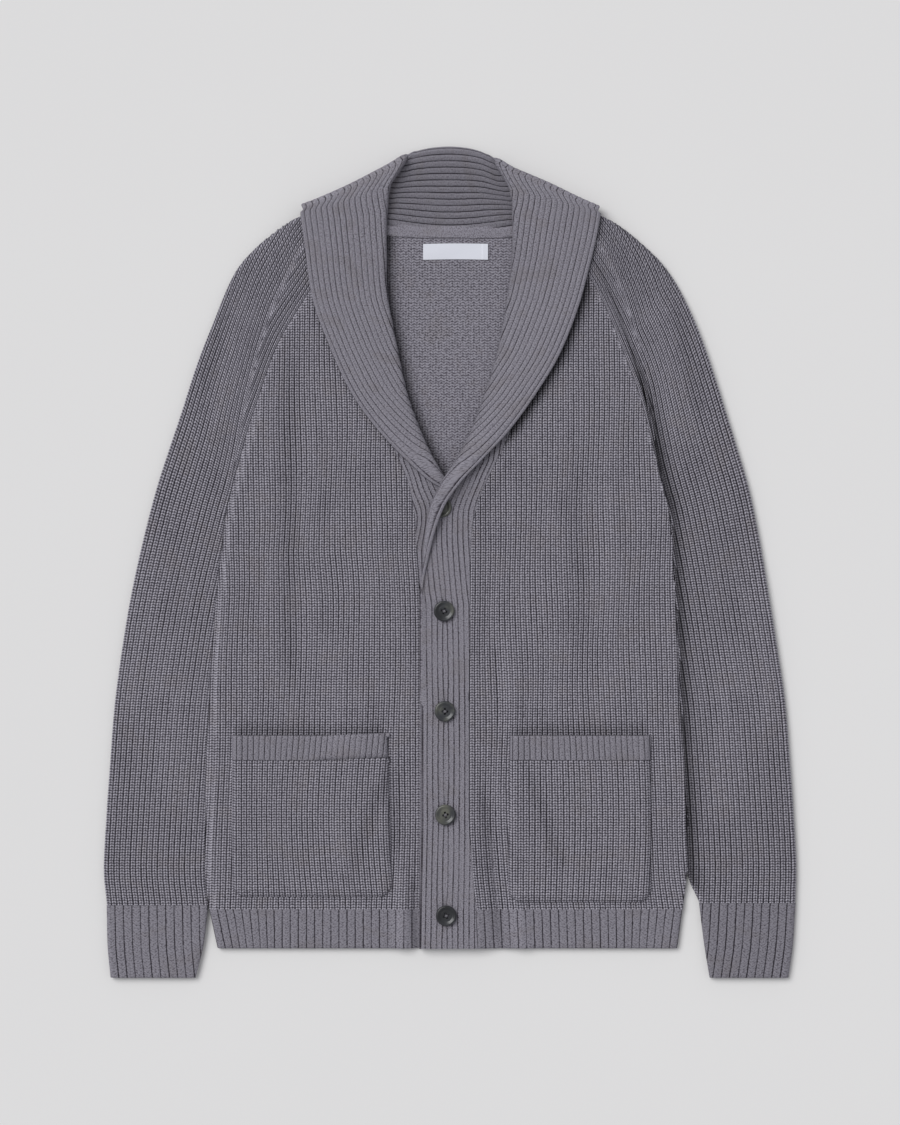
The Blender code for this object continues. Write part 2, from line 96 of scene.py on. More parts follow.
# The folded outer edge of each sleeve, opposite each course of the body.
sleeveEdge = columns(
    "y outRx outRy outLx outLy",
    [
        (-325, -326.0, -325.0, 329.0, -323.0),
        (-290, -329.0, -290.0, 330.0, -290.0),
        (-240, -326.5, -240.0, 327.5, -240.0),
        (-190, -323.0, -190.0, 324.0, -190.0),
        (-140, -319.0, -138.0, 320.0, -138.0),
        (-90, -312.5, -88.0, 313.0, -88.0),
        (-40, -304.0, -36.0, 305.0, -38.0),
        (10, -291.5, 22.0, 295.0, 22.0),
        (48, -279.0, 70.0, 285.0, 70.0),
        (76, -266.5, 109.0, 274.0, 108.0),
        (97, -256.0, 140.0, 265.0, 137.0),
        (126, -243.0, 180.0, 252.0, 178.0),
        (159, -225.0, 226.0, 234.0, 227.0),
        (202, -200.0, 281.0, 206.0, 279.0),
        (249, -153.0, 323.0, 156.0, 323.0),
        (273, -130.5, 333.0, 133.5, 333.0),
        (297, -109.0, 343.0, 112.0, 344.0),
        (320, -83.0, 352.0, 87.0, 353.0),
    ],
)
wrists = {"R": (-229.0, -325.0), "L": (237.0, -323.0)}

cuffs = columns(
    "inRx inRy outRx outRy inLx inLy outLx outLy",
    [
        (-229.0, -325.2, -325.7, -325.2, 237.0, -323.2, 328.7, -323.2),
        (-233.0, -360.0, -325.0, -360.0, 241.5, -360.0, 326.5, -360.0),
        (-241.0, -394.0, -322.0, -394.0, 247.0, -394.0, 322.0, -394.0),
    ],
)

# The ribbed strip, from the hem of the wearer's right front round the neck to the hem of the left
# front: the seam, the roll (its folded edge) and the leaf's free edge, each with its layer, how far
# the leaf stands off at the roll, and the width of one rib.
stripRight = columns(
    "seamX seamY rollX rollY edgeX edgeY seamUp rollUp edgeUp open pitch",
    [
        (-28, -366, 16, -366, 15.5, -366, 1.0, 1.0, 1.0, 0.05, 5.1),
        (-28, -329, 16, -329, 15.5, -329, 1.0, 1.0, 1.0, 0.05, 5.1),
        (-27, -240, 16, -240, 15.5, -240, 1.0, 1.0, 1.0, 0.05, 5.1),
        (-27, -140, 16, -140, 15.5, -140, 1.0, 1.0, 1.0, 0.05, 5.1),
        (-27.5, -40, 16, -40, 15.5, -40, 1.0, 1.0, 1.0, 0.05, 5.1),
        (-30.5, 10, 12, 19, 10, 19, 1.0, 1.0, 1.1, 0.3, 5.1),
        (-33.5, 48, 3, 72, -6, 68, 1.0, 1.0, 2.1, 1.0, 4.9),
        (-39, 76, -3, 80, -20, 78, 1.0, 1.0, 2.1, 1.0, 4.7),
        (-47.5, 97, -15, 100, -40, 96, 1.0, 1.0, 2.1, 1.0, 4.6),
        (-60, 126, -29, 131, -70, 128, 1.0, 1.0, 2.2, 1.0, 4.7),
        (-70, 159, -40, 163, -94, 162, 1.0, 1.0, 2.2, 1.0, 4.9),
        (-79, 202, -49, 205, -114, 205, 1.0, 1.0, 2.2, 1.0, 5.1),
        (-85, 249, -57, 249, -130, 250, 1.0, 1.0, 2.2, 1.0, 5.3),
        (-87, 273, -59, 273, -134, 273, 1.0, 1.0, 2.2, 1.0, 5.4),
        (-87, 297, -59, 300, -137, 299, 1.1, 1.1, 2.3, 1.3, 5.5),
        (-83, 320, -58, 336, -140, 322, 1.4, 1.6, 2.8, 1.5, 5.6),
        (-79.5, 340, -55, 363, -141, 331, 1.8, 2.0, 3.1, 1.55, 5.7),
    ],
)
stripLeft = columns(
    "seamX seamY rollX rollY edgeX edgeY seamUp rollUp edgeUp open pitch",
    [
        (27, -366, -29, -366, -28.5, -366, 2.0, 2.0, 2.0, 0.05, 5.2),
        (25, -329, -28.5, -329, -28, -329, 2.0, 2.0, 2.0, 0.05, 5.15),
        (19, -240, -27, -240, -26.5, -240, 2.0, 2.0, 2.0, 0.05, 5.1),
        (19, -140, -27, -140, -26.5, -140, 2.0, 2.0, 2.0, 0.05, 5.1),
        (19.5, -40, -27.5, -40, -26.5, -40, 2.0, 2.0, 2.05, 0.08, 5.1),
        (20, 10, -25, 10, -18, 11, 2.0, 2.0, 3.0, 1.0, 5.1),
        (24, 48, -20, 48, -6, 50, 2.0, 2.5, 4.9, 2.2, 5.0),
        (34, 76, -9, 74, 12, 77, 2.4, 3.6, 5.4, 1.6, 4.8),
        (45, 97, 3, 93, 30, 96, 1.8, 2.8, 4.2, 1.2, 4.7),
        (58, 126, 19, 124, 56, 124, 1.2, 1.8, 3.6, 1.0, 4.7),
        (71, 159, 32, 158, 81, 158, 1.0, 1.2, 3.1, 1.0, 4.9),
        (83, 202, 45, 201, 105, 198, 1.0, 1.0, 3.0, 1.0, 5.1),
        (91, 249, 54, 250, 124, 247, 1.0, 1.0, 2.8, 1.0, 5.3),
        (92, 273, 57, 273, 131, 273, 1.0, 1.0, 2.2, 1.0, 5.4),
        (92, 297, 59, 300, 137, 297, 1.1, 1.1, 2.3, 1.3, 5.5),
        (87, 320, 59, 336, 142, 322, 1.4, 1.6, 2.8, 1.5, 5.6),
        (82.5, 340, 56, 363, 143, 330, 1.8, 2.0, 3.1, 1.55, 5.7),
    ],
)
shoulders = columns(
    "seamX seamY rollX rollY edgeX edgeY",
    [(-78, 362, -47, 390, -141, 340), (81, 362, 50, 390, 143, 338)],
)
backNeck = columns(
    "seamX seamY rollX rollY edgeX edgeY",
    [
        (-70, 314, -31, 394.0, -118, 315),
        (-42, 308.5, -16, 395.0, -60, 306),
        (1, 307, 1, 395.3, 1, 304),
        (44, 307.5, 18, 395.0, 62, 306),
        (73, 313, 34, 393.5, 120, 315),
    ],
)
strip = {
    "turns": (30, 60, 90, 120, 150),  # degrees, over each shoulder
    # How far the folded top edge sags from a straight line between the shoulder and the neck.
    "sagX": np.array([-143.0, -124, -87, -60, -46, -30, -14, 0, 14, 30, 47, 58, 76, 95, 124, 143]),
    "sag": np.array([0.0, 3.2, 6.2, 6.6, 5.6, 2.8, 0.6, 0, 0.8, 3.6, 9.0, 9.8, 7.6, 5.0, 2.6, 0]),
    "sagFromX": (0, 50, 90, 143),
    "sagFromY": (335, 322, 304, 282),
    "neckFold": 2.6,
    "slide": 4.0,
    "leafFullness": 3,
    "neckPitch": 6.1,
    "plainY": (60.0, 100.0, 126.0, 160.0, 202.0, 249.0),  # low on the lapels the leaf is nearly plain
    "plainShare": (0.05, 0.3, 0.62, 0.85, 0.96, 1.0),
    "neckRibs": 16.0,  # on the leaf round the neck, so that they run along the roll
    "rowStep": 3.6,
    "bead": 4.2,  # the first groove, inside the free edge
    "beadDepth": 0.7,
    "ribDepth": 0.8,
    "bandDepth": 0.55,  # the ribs of the flat bands are this much shallower
    "link": 11.0,  # the plain linked edge where the collar is joined to the back
    "linkShade": 1.25,
    "standShade": 0.36,
    "rollShade": 0.3,
    "crown": 0.9,
    "course": 2.2,
}

# Soft rolls in the cloth, uneven as it lies: from, to, half of the width, height (a trough is below 0).
folds = columns(
    "x0 y0 x1 y1 half height",
    [
        (-150, 240, -150, -155, 9, -1.9),
        (-170, 190, -167, -110, 8, 1.3),
        (-126, 150, -128, -120, 9, 1.3),
        (-45, -280, -44, -410, 7, 3.3),
        (-34, -292, -29, -400, 4, -2.6),
        (-50, -190, -48, -285, 7, -1.5),
        (-54, -190, -99, -316, 8, -1.9),
        (-112, -215, -96, -310, 10, 1.2),
        (-120, -60, -96, -200, 18, 1.2),
        (-70, 60, -64, -120, 16, 0.8),
        (56, -60, 60, -175, 12, 2.2),
        (45, -70, 48, -190, 7, -1.5),
        (24, -160, 84, -304, 9, 2.4),
        (74, -190, 113, -304, 7, -2.2),
        (32, -200, 51, -380, 5, -2.4),
        (65, -296, 71, -400, 8, 2.4),
        (152, 145, 158, -100, 9, 1.9),
        (122, 120, 128, -120, 9, -1.2),
        (98, 60, 104, -110, 15, 1.0),
        (-186, 262, -216, 110, 14, 2.4),
        (-198, 300, -232, 150, 7, -1.3),
        (192, 262, 226, 100, 14, 2.4),
        (208, 300, 240, 120, 7, -1.3),
        (-266, -50, -256, -250, 16, 1.8),
        (-288, 20, -298, -160, 12, 1.2),
        (270, -60, 264, -260, 16, 1.8),
        (292, 10, 304, -180, 12, 1.2),
    ],
)


def smooth(t):
    t = np.clip(t, 0.0, 1.0)
    return t * t * (3 - 2 * t)


def tangents(knots, values):
    # one slope per knot, flat where the values turn back, so that a curve never runs past them
    steps = np.diff(values) / np.diff(knots)
    slopes = np.empty_like(values)
    slopes[0], slopes[-1] = steps[0], steps[-1]
    before, after = steps[:-1], steps[1:]
    same = before * after > 0
    both = np.where(same, before + after, 1.0)
    slopes[1:-1] = np.where(same, 2 * before * after / both, 0.0)
    return slopes


def curveAt(knots, values, places):
    # a smooth curve through a table's column
    places = np.clip(places, knots[0], knots[-1])
    left = np.clip(np.searchsorted(knots, places, side="right") - 1, 0, len(knots) - 2)
    span = knots[left + 1] - knots[left]
    t = (places - knots[left]) / span
    slopes = tangents(knots, values)
    start, end = values[left], values[left + 1]
    return (
        start * (2 * t**3 - 3 * t**2 + 1)
        + end * (3 * t**2 - 2 * t**3)
        + slopes[left] * span * (t**3 - 2 * t**2 + t)
        + slopes[left + 1] * span * (t**3 - t**2)
    )


def bodyAt(name, y):
    return curveAt(body["y"], body[name], y)


def raised(x, y):
    up = np.clip((y - cloth["raiseFrom"]) / (cloth["raiseFull"] - cloth["raiseFrom"]), 0, 1)
    reach = np.clip((cloth["raiseSide"] - np.abs(x)) / cloth["raiseFade"], 0, 1)
    return cloth["collarRaise"] * smooth(up) * reach


def foldHeight(x, y):
    total = np.zeros_like(x)
    for x0, y0, x1, y1, half, height in zip(*folds.values()):
        runX, runY = x1 - x0, y1 - y0
        t = ((x - x0) * runX + (y - y0) * runY) / (runX**2 + runY**2)
        off = np.hypot(x - x0 - runX * t, y - y0 - runY * t)
        total += height * smooth(np.minimum(t, 1 - t) / 0.2) * bell(off, half)
    return total


def level(layers, x, y):
    # the middle of a wall that lies this many layers up
    return cloth["wall"] / 2 + layers * cloth["layer"] + raised(x, y)


def sway(x, y, seed):
    # a slow uneven wander, from -1 to 1, so that no wale is ruled straight
    a = np.sin(x * 0.021 + y * 0.013 + seed) + np.sin(x * -0.034 + y * 0.027 + seed * 2.3)
    return (a + np.sin(x * 0.053 + y * -0.041 + seed * 4.1)) / 3


def bell(distance, half):
    # 1 in the middle of a soft crease or ridge, fading on both sides
    return np.exp(-((distance / half) ** 2))


def relief(wale, depth, sharp=1.6):
    # how deep the cloth is between two wales, which meet at whole numbers
    return -depth * (np.cos(math.pi * wale) ** 2) ** sharp


def hexToLinear(code):
    def channel(pair):
        value = int(pair, 16) / 255
        return value / 12.92 if value <= 0.04045 else ((value + 0.055) / 1.055) ** 2.4

    return (*(channel(code[i : i + 2]) for i in (0, 2, 4)), 1.0)


def addNode(tree, kind, settings=None, links=None, out=0):
    # one node, with its settings, and its inputs given as sockets or values
    made = tree.nodes.new("ShaderNode" + kind)
    for name, value in (settings or {}).items():
        setattr(made, name, value)
    for name, value in (links or {}).items():
        if isinstance(value, bpy.types.NodeSocket):
            tree.links.new(value, made.inputs[name])
        else:
            made.inputs[name].default_value = value
    return made.outputs[out]


def newMaterial(name):
    material = bpy.data.materials.new(name)
    material.use_nodes = True
    tree = material.node_tree
    return material, tree, tree.nodes["Principled BSDF"]


# Melange wool yarn: matt, with light and dark fibres mixed, and a little fuzz that catches the light.
yarn = {
    "warm": "D8D2C8",
    "warmFrom": 0.52,
    "warmFull": 0.7,
    "warmShare": 0.3,
    "roughness": 0.9,
    "specular": 0.12,
    "sheen": 0.22,
    "sheenRoughness": 0.55,
    "sheenTint": "B9B6C4",
    # scales of the unevenness, in patches to each wale
    "wanderScale": 0.45,
    "cloudScale": 0.09,
    "alongWale": 0.03,  # a channel grows deep and shallow slowly along its wale
    "shallowBelow": 0.32,
    "deepAbove": 0.62,
    # how dark the painted shade is where the point attribute is below 0
    "hollowShade": 0.62,
    "fuzzBump": 0.3,
}


def woolShader(shader):
    shader.inputs["Roughness"].default_value = yarn["roughness"]
    shader.inputs["Metallic"].default_value = 0.0
    shader.inputs["IOR"].default_value = 1.5
    shader.inputs["Specular IOR Level"].default_value = yarn["specular"]
    shader.inputs["Sheen Weight"].default_value = yarn["sheen"]
    shader.inputs["Sheen Roughness"].default_value = yarn["sheenRoughness"]
    shader.inputs["Sheen Tint"].default_value = hexToLinear(yarn["sheenTint"])


def knitMaterial(name, face, tone):
    # face holds the sizes of the stitch, all as parts of one wale or one course. The point attribute is
    # above 0 where the channels are stretched shallow, and below 0 in a hollow, where shade is painted
    # in.
    material, tree, shader = newMaterial(name)
    woolShader(shader)
    uv = addNode(tree, "UVMap", {"uv_map": "knit"})
    even = addNode(tree, "VectorMath", {"operation": "MULTIPLY"}, {0: uv, 1: (2.0, 1.0, 0.0)})
    wander = addNode(
        tree, "TexNoise", {"noise_dimensions": "2D"},
        {"Vector": even, "Scale": yarn["wanderScale"], "Detail": 3.0, "Roughness": 0.7}, 1,
    )
    shift = addNode(
        tree, "VectorMath", {"operation": "MULTIPLY_ADD"},
        {0: wander, 1: (face["wander"], face["wander"] * 2, 0), 2: uv},
    )
    wale = addNode(tree, "SeparateXYZ", None, {0: shift})
    course = wale.node.outputs[1]
    centred = addNode(tree, "Math", {"operation": "SUBTRACT"}, {0: wale, 1: face["wander"] / 2})
    across = addNode(tree, "Math", {"operation": "FRACT"}, {0: centred})
    offMiddle = addNode(tree, "Math", {"operation": "SUBTRACT"}, {0: across, 1: 0.5})
    halfAway = addNode(tree, "Math", {"operation": "ABSOLUTE"}, {0: offMiddle})
    away = addNode(tree, "Math", {"operation": "MULTIPLY"}, {0: halfAway, 1: 2.0})
    fibre = addNode(
        tree, "TexNoise", {"noise_dimensions": "2D"},
        {"Vector": even, "Scale": face["fibre"], "Detail": 4.0, "Roughness": 0.75},
    )
    fleck = addNode(tree, "Math", {"operation": "MULTIPLY_ADD"}, {0: fibre, 1: 2.0, 2: -1.0})
    cloud = addNode(
        tree, "TexNoise", {"noise_dimensions": "2D"},
        {"Vector": even, "Scale": yarn["cloudScale"], "Detail": 3.0, "Roughness": 0.6},
    )
    # the channels, uneven along each wale
    stretchAndShade = addNode(tree, "Attribute", {"attribute_name": "stretchAndShade"}, None, 2)
    taut = addNode(tree, "Math", {"operation": "SUBTRACT"}, {0: 1.0, 1: stretchAndShade})
    along = addNode(
        tree, "VectorMath", {"operation": "MULTIPLY"}, {0: shift, 1: (1.0, yarn["alongWale"], 0)}
    )
    uneven = addNode(
        tree, "TexNoise", {"noise_dimensions": "2D"}, {"Vector": along, "Scale": 1.0, "Detail": 2.0}
    )
    deep = addNode(
        tree, "MapRange", {"interpolation_type": "SMOOTHSTEP"},
        {
            "Value": uneven, 1: yarn["shallowBelow"], 2: yarn["deepAbove"],
            3: 1.0 - face["uneven"], 4: 1.0,
        },
    )
    firm = addNode(tree, "Math", {"operation": "MULTIPLY"}, {0: taut, 1: deep})
    channel = addNode(
        tree, "MapRange", {"interpolation_type": "SMOOTHSTEP"},
        {"Value": away, 1: face["groove"], 2: face["grooveFull"], 3: 0.0, 4: 1.0},
    )
    groove = addNode(tree, "Math", {"operation": "MULTIPLY"}, {0: channel, 1: firm})
    # the stitches, each a loop with two slanting arms
    middle = addNode(
        tree, "MapRange", {"interpolation_type": "SMOOTHSTEP"},
        {"Value": away, 1: 0.0, 2: face["middle"], 3: face["middleDepth"], 4: 0.0},
    )
    slope = addNode(
        tree, "Math", {"operation": "MULTIPLY_ADD"}, {0: away, 1: face["slope"], 2: course}
    )
    inStitch = addNode(tree, "Math", {"operation": "FRACT"}, {0: slope})
    halfTurn = addNode(tree, "Math", {"operation": "MULTIPLY"}, {0: inStitch, 1: math.pi})
    loop = addNode(tree, "Math", {"operation": "SINE"}, {0: halfTurn})
    loops = addNode(
        tree, "Math", {"operation": "MULTIPLY_ADD"}, {0: loop, 1: face["stitch"], 2: 1.0 - face["stitch"]}
    )
    arms = addNode(tree, "Math", {"operation": "SUBTRACT"}, {0: loops, 1: middle})
    # the depth of channel and stitch, for the bump, also painted into the colour as shade
    left = addNode(
        tree, "Math", {"operation": "MULTIPLY_ADD"}, {0: groove, 1: -face["grooveDepth"], 2: 1.0}
    )
    height = addNode(tree, "Math", {"operation": "MULTIPLY"}, {0: arms, 1: left})
    # the colour, with painted shade from the depth of channels and stitches, the mixed fibres and slow
    # clouds of tone
    flecked = addNode(
        tree, "Math", {"operation": "MULTIPLY_ADD"}, {0: fleck, 1: face["melange"], 2: height}
    )
    drift = addNode(tree, "Math", {"operation": "SUBTRACT"}, {0: cloud, 1: 0.5})
    toned = addNode(
        tree, "Math", {"operation": "MULTIPLY_ADD"}, {0: drift, 1: face["cloud"], 2: flecked}
    )
    shade = addNode(tree, "ValToRGB", None, {0: toned})
    stops = shade.node.color_ramp.elements
    stops[0].position, stops[0].color = 0.05, hexToLinear(tone[0])
    stops[1].position, stops[1].color = 1.0, hexToLinear(tone[2])
    stops.new(0.5).color = hexToLinear(tone[1])
    warm = addNode(
        tree, "MapRange", {"interpolation_type": "SMOOTHSTEP"},
        {"Value": cloud, 1: yarn["warmFrom"], 2: yarn["warmFull"], 3: 0.0, 4: yarn["warmShare"]},
    )
    warmed = addNode(
        tree, "Mix", {"data_type": "RGBA", "blend_type": "MULTIPLY"},
        {0: warm, 6: shade, 7: hexToLinear(yarn["warm"])}, 2,
    )
    # painted shade: below 0 the attribute darkens the colour, as in a hollow
    hollow = addNode(tree, "Math", {"operation": "MINIMUM"}, {0: stretchAndShade, 1: 0.0})
    dim = addNode(
        tree, "Math", {"operation": "MULTIPLY_ADD"}, {0: hollow, 1: yarn["hollowShade"], 2: 1.0}
    )
    shaded = addNode(tree, "VectorMath", {"operation": "SCALE"}, {0: warmed, "Scale": dim})
    tree.links.new(shaded, shader.inputs["Base Color"])
    fuzzy = addNode(
        tree, "Math", {"operation": "MULTIPLY_ADD"}, {0: fibre, 1: yarn["fuzzBump"], 2: height}
    )
    bump = addNode(
        tree, "Bump", None,
        {"Strength": face["bump"], "Distance": face["bumpHeight"] * mm, "Height": fuzzy},
    )
    tree.links.new(bump, shader.inputs["Normal"])
    return material


# the dark, middle and light tones of each knit; the dark end also paints the shade in deep channels
tones = {
    "body": ("1D1A20", "64616A", "BAB7C1"),
    "rib": ("2A262C", "625F67", "95929B"),
    "inside": ("322E36", "68656D", "9C99A3"),
}
# Half-cardigan: each wale is a column of V stitches, with a deep channel beside it, painted dark as
# shade.
halfCardigan = {
    "wander": 0.16, "groove": 0.62, "grooveFull": 0.98, "grooveDepth": 0.85, "middle": 0.42,
    "middleDepth": 0.40, "slope": 0.35, "stitch": 0.62, "melange": 0.45, "cloud": 0.16, "uneven": 0.3,
    "fibre": 1.15, "bump": 0.9, "bumpHeight": 0.9,
}
# Close rib: a smooth fine-stitched wale between narrow channels.
closeRib = {
    "wander": 0.08, "groove": 0.78, "grooveFull": 0.97, "grooveDepth": 0.92, "middle": 0.30,
    "middleDepth": 0.07, "slope": 1.2, "stitch": 0.26, "melange": 1.2, "cloud": 0.16, "uneven": 0.45,
    "fibre": 1.8, "bump": 0.6, "bumpHeight": 0.5,
}
# The reverse: rows of small loops, with no channels.
reverse = {
    "wander": 0.16, "groove": 0.55, "grooveFull": 1.0, "grooveDepth": 0.22, "middle": 0.40,
    "middleDepth": 0.22, "slope": 0.5, "stitch": 0.60, "melange": 1.05, "cloud": 0.15, "uneven": 0.3,
    "fibre": 1.15, "bump": 0.7, "bumpHeight": 0.7,
}
bodyKnit = knitMaterial("half-cardigan wool knit", halfCardigan, tones["body"])
ribKnit = knitMaterial("ribbed wool knit", closeRib, tones["rib"])
insideKnit = knitMaterial("reverse of wool knit", reverse, tones["inside"])
print("materials for the knit made")


def knitShell(name, places, wales, courses, materials, thickness=None, stretchAndShade=None):
    # places is a grid of points, by course and wale, with the pattern's own coordinates for each
    rows, cols = wales.shape
    grid = bmesh.new()
    bmesh.ops.create_grid(grid, x_segments=cols - 1, y_segments=rows - 1, size=0.5)
    mesh = bpy.data.meshes.new(name)
    grid.to_mesh(mesh)
    grid.free()
    flat = np.empty(len(mesh.vertices) * 3)
    mesh.vertices.foreach_get("co", flat)
    flat = flat.reshape(-1, 3)
    col = np.rint((flat[:, 0] + 0.5) * (cols - 1)).astype(int)
    row = np.rint((flat[:, 1] + 0.5) * (rows - 1)).astype(int)
    mesh.vertices.foreach_set("co", (places[row, col] * mm).ravel())
    corners = np.empty(len(mesh.loops), int)
    mesh.loops.foreach_get("vertex_index", corners)
    layer = mesh.uv_layers.new(name="knit")
    pattern = np.stack([wales[row, col], courses[row, col]], axis=1)[corners]
    layer.data.foreach_set("uv", pattern.ravel())
    if stretchAndShade is not None:
        mesh.attributes.new("stretchAndShade", "FLOAT", "POINT").data.foreach_set("value", stretchAndShade[row, col])
    tidy = bmesh.new()  # wales that end at a seam were gathered on it
    tidy.from_mesh(mesh)
    bmesh.ops.remove_doubles(tidy, verts=tidy.verts, dist=0.00002)
    bmesh.ops.dissolve_degenerate(tidy, edges=tidy.edges, dist=0.00001)
    pattern = tidy.loops.layers.uv["knit"]
    for polygon in tidy.faces:
        polygon.smooth = True
    for edge in tidy.edges:
        if edge.is_boundary:
            corner = edge.link_loops[0]
            course = corner[pattern].uv.y - corner.link_loop_next[pattern].uv.y
            edge.smooth = abs(course) > 0.01  # a cut across the wales stays crisp, so pieces join unseen
    tidy.to_mesh(mesh)
    tidy.free()
    piece = bpy.data.objects.new(name, mesh)
    bpy.context.scene.collection.objects.link(piece)
    for material in materials:
        mesh.materials.append(material)
    wall = piece.modifiers.new("Thickness", "SOLIDIFY")
    wall.thickness = (thickness or cloth["shell"]) * mm
    wall.offset = -1.0
    if len(materials) > 1:
        wall.material_offset = 1
    return piece


def waleColumns(count, within=(0, 0.2, 0.5, 0.8)):
    # where the columns of points stand across each wale; close to 0 and 1 the channel is narrow
    return np.append((np.arange(count)[:, None] + np.array(within)).ravel(), count)


narrow = (0, 0.13, 0.5, 0.87)
broad = (0, 0.07, 0.16, 0.36, 0.5, 0.64, 0.84, 0.93)


def rowsBetween(low, high, step, ends=()):
    # even rows, with closer ones where an edge rounds off
    rows = np.linspace(low, high, max(2, round((high - low) / step) + 1))
    return np.unique(np.concatenate([rows, np.array(ends, float)]))


front = {
    "R": {"pitch": 5.15, "pitchTop": 4.85, "wales": 42, "out": -1, "anchorTop": 10.0},
    "L": {"pitch": 5.1, "pitchTop": 4.85, "wales": 42, "out": 1, "anchorTop": 10.0},
    "waleDepth": 1.15,
    "course": 2.55,
    "rowStep": 5.0,
    "sideRound": 5.0,  # the folded side rounds off over this width
    "sideDrop": {"R": 1.7, "L": 0.7},
    "raglanDip": 0.9,
    "raglanRound": 3.0,
    "seamDrop": 0.7,
    "seamRound": 2.5,
    "markStep": 7.5,  # between the marks where wales were cast off along the raglan
    "markWidth": 3.5,
    "markShade": 1.5,
    "ridge": {"R": 1.0, "L": 0.15},  # where the side seam's stretched wale catches the light: painted lighter, with shallow channels
    "ridgeAt": 5.5,
    "ridgeHalf": 3.0,
    "ridgeTop": 160.0,
    "foldShade": 0.1,
    "lapelShade": 1.15,
    "underLapel": 8.5,
    "pocketMouthShade": 0.4,
    "pocketShadeFade": 8.0,
}


def leftClimb(x, y):
    seam = bodyAt("stripL", y)
    upTo = np.interp(y, stripLeft["seamY"], stripLeft["seamUp"])
    return (upTo - 1) * smooth(1 - (x - seam) / cloth["bandClimb"])


def frontTop(side, x, y):
    climb = leftClimb(x, y) if side == "L" else 0.0
    return level(1 + climb, x, y) + foldHeight(x, y) + cloth["wall"] / 2


def edgeRound(distance, width, drop):
    # how far cloth drops towards an edge that it turns over
    t = np.clip(1 - distance / width, 0, 1)
    return -drop * t**2.2


def frontPlaces(side, wale, y):
    how = front[side]
    anchor = bodyAt("strip" + side, np.minimum(y, how["anchorTop"]))
    seam = bodyAt("strip" + side, y) - how["out"] * 0.2
    edge = bodyAt("side" + side, y) + how["out"] * 0.3
    fan = smooth((y - cloth["hemTop"]) / (underarm - cloth["hemTop"]))
    pitch = how["pitch"] + (how["pitchTop"] - how["pitch"]) * fan
    x = anchor + how["out"] * wale * pitch
    x = x + 2.0 * sway(x, y, 3.0) * smooth(wale / 6)
    x = np.clip(x, np.minimum(edge, seam), np.maximum(edge, seam))
    return x, y, pitch, anchor, seam, edge


pockets = {
    "R": {"leftTop": -206, "left": -206, "rightTop": -59, "right": -54, "low": -317},
    "L": {"leftTop": 57.5, "left": 55.5, "rightTop": 191, "right": 191, "low": -322},
    "top": -164.0,
    "rib": 23.0,
    "corner": 14.0,
    "lift": {"R": 2.5, "L": 0.0},  # one end of a pocket's top sits higher
    "lean": {"R": -5.0, "L": 3.0},
    "pitch": 5.15,
    "ribPitch": 5.4,
    "clear": 1.0,
    "edgeRound": 5.0,
    "edgeDrop": 3.2,
    "seamAt": 4.2,  # the line of sewing inside the edge, and the swell beside it
    "swellAt": 7.0,
    "ribShade": 0.12,
}


def pocketSides(side, y):
    size = pockets[side]
    down = (pockets["top"] - y) / (pockets["top"] - size["low"])
    left = size["leftTop"] + (size["left"] - size["leftTop"]) * down
    right = size["rightTop"] + (size["right"] - size["rightTop"]) * down
    up = np.clip(1 - (y - size["low"]) / pockets["corner"], 0, 1)
    inset = pockets["corner"] * (1 - np.sqrt(np.maximum(1 - up**2, 0)))
    return left + inset, right - inset


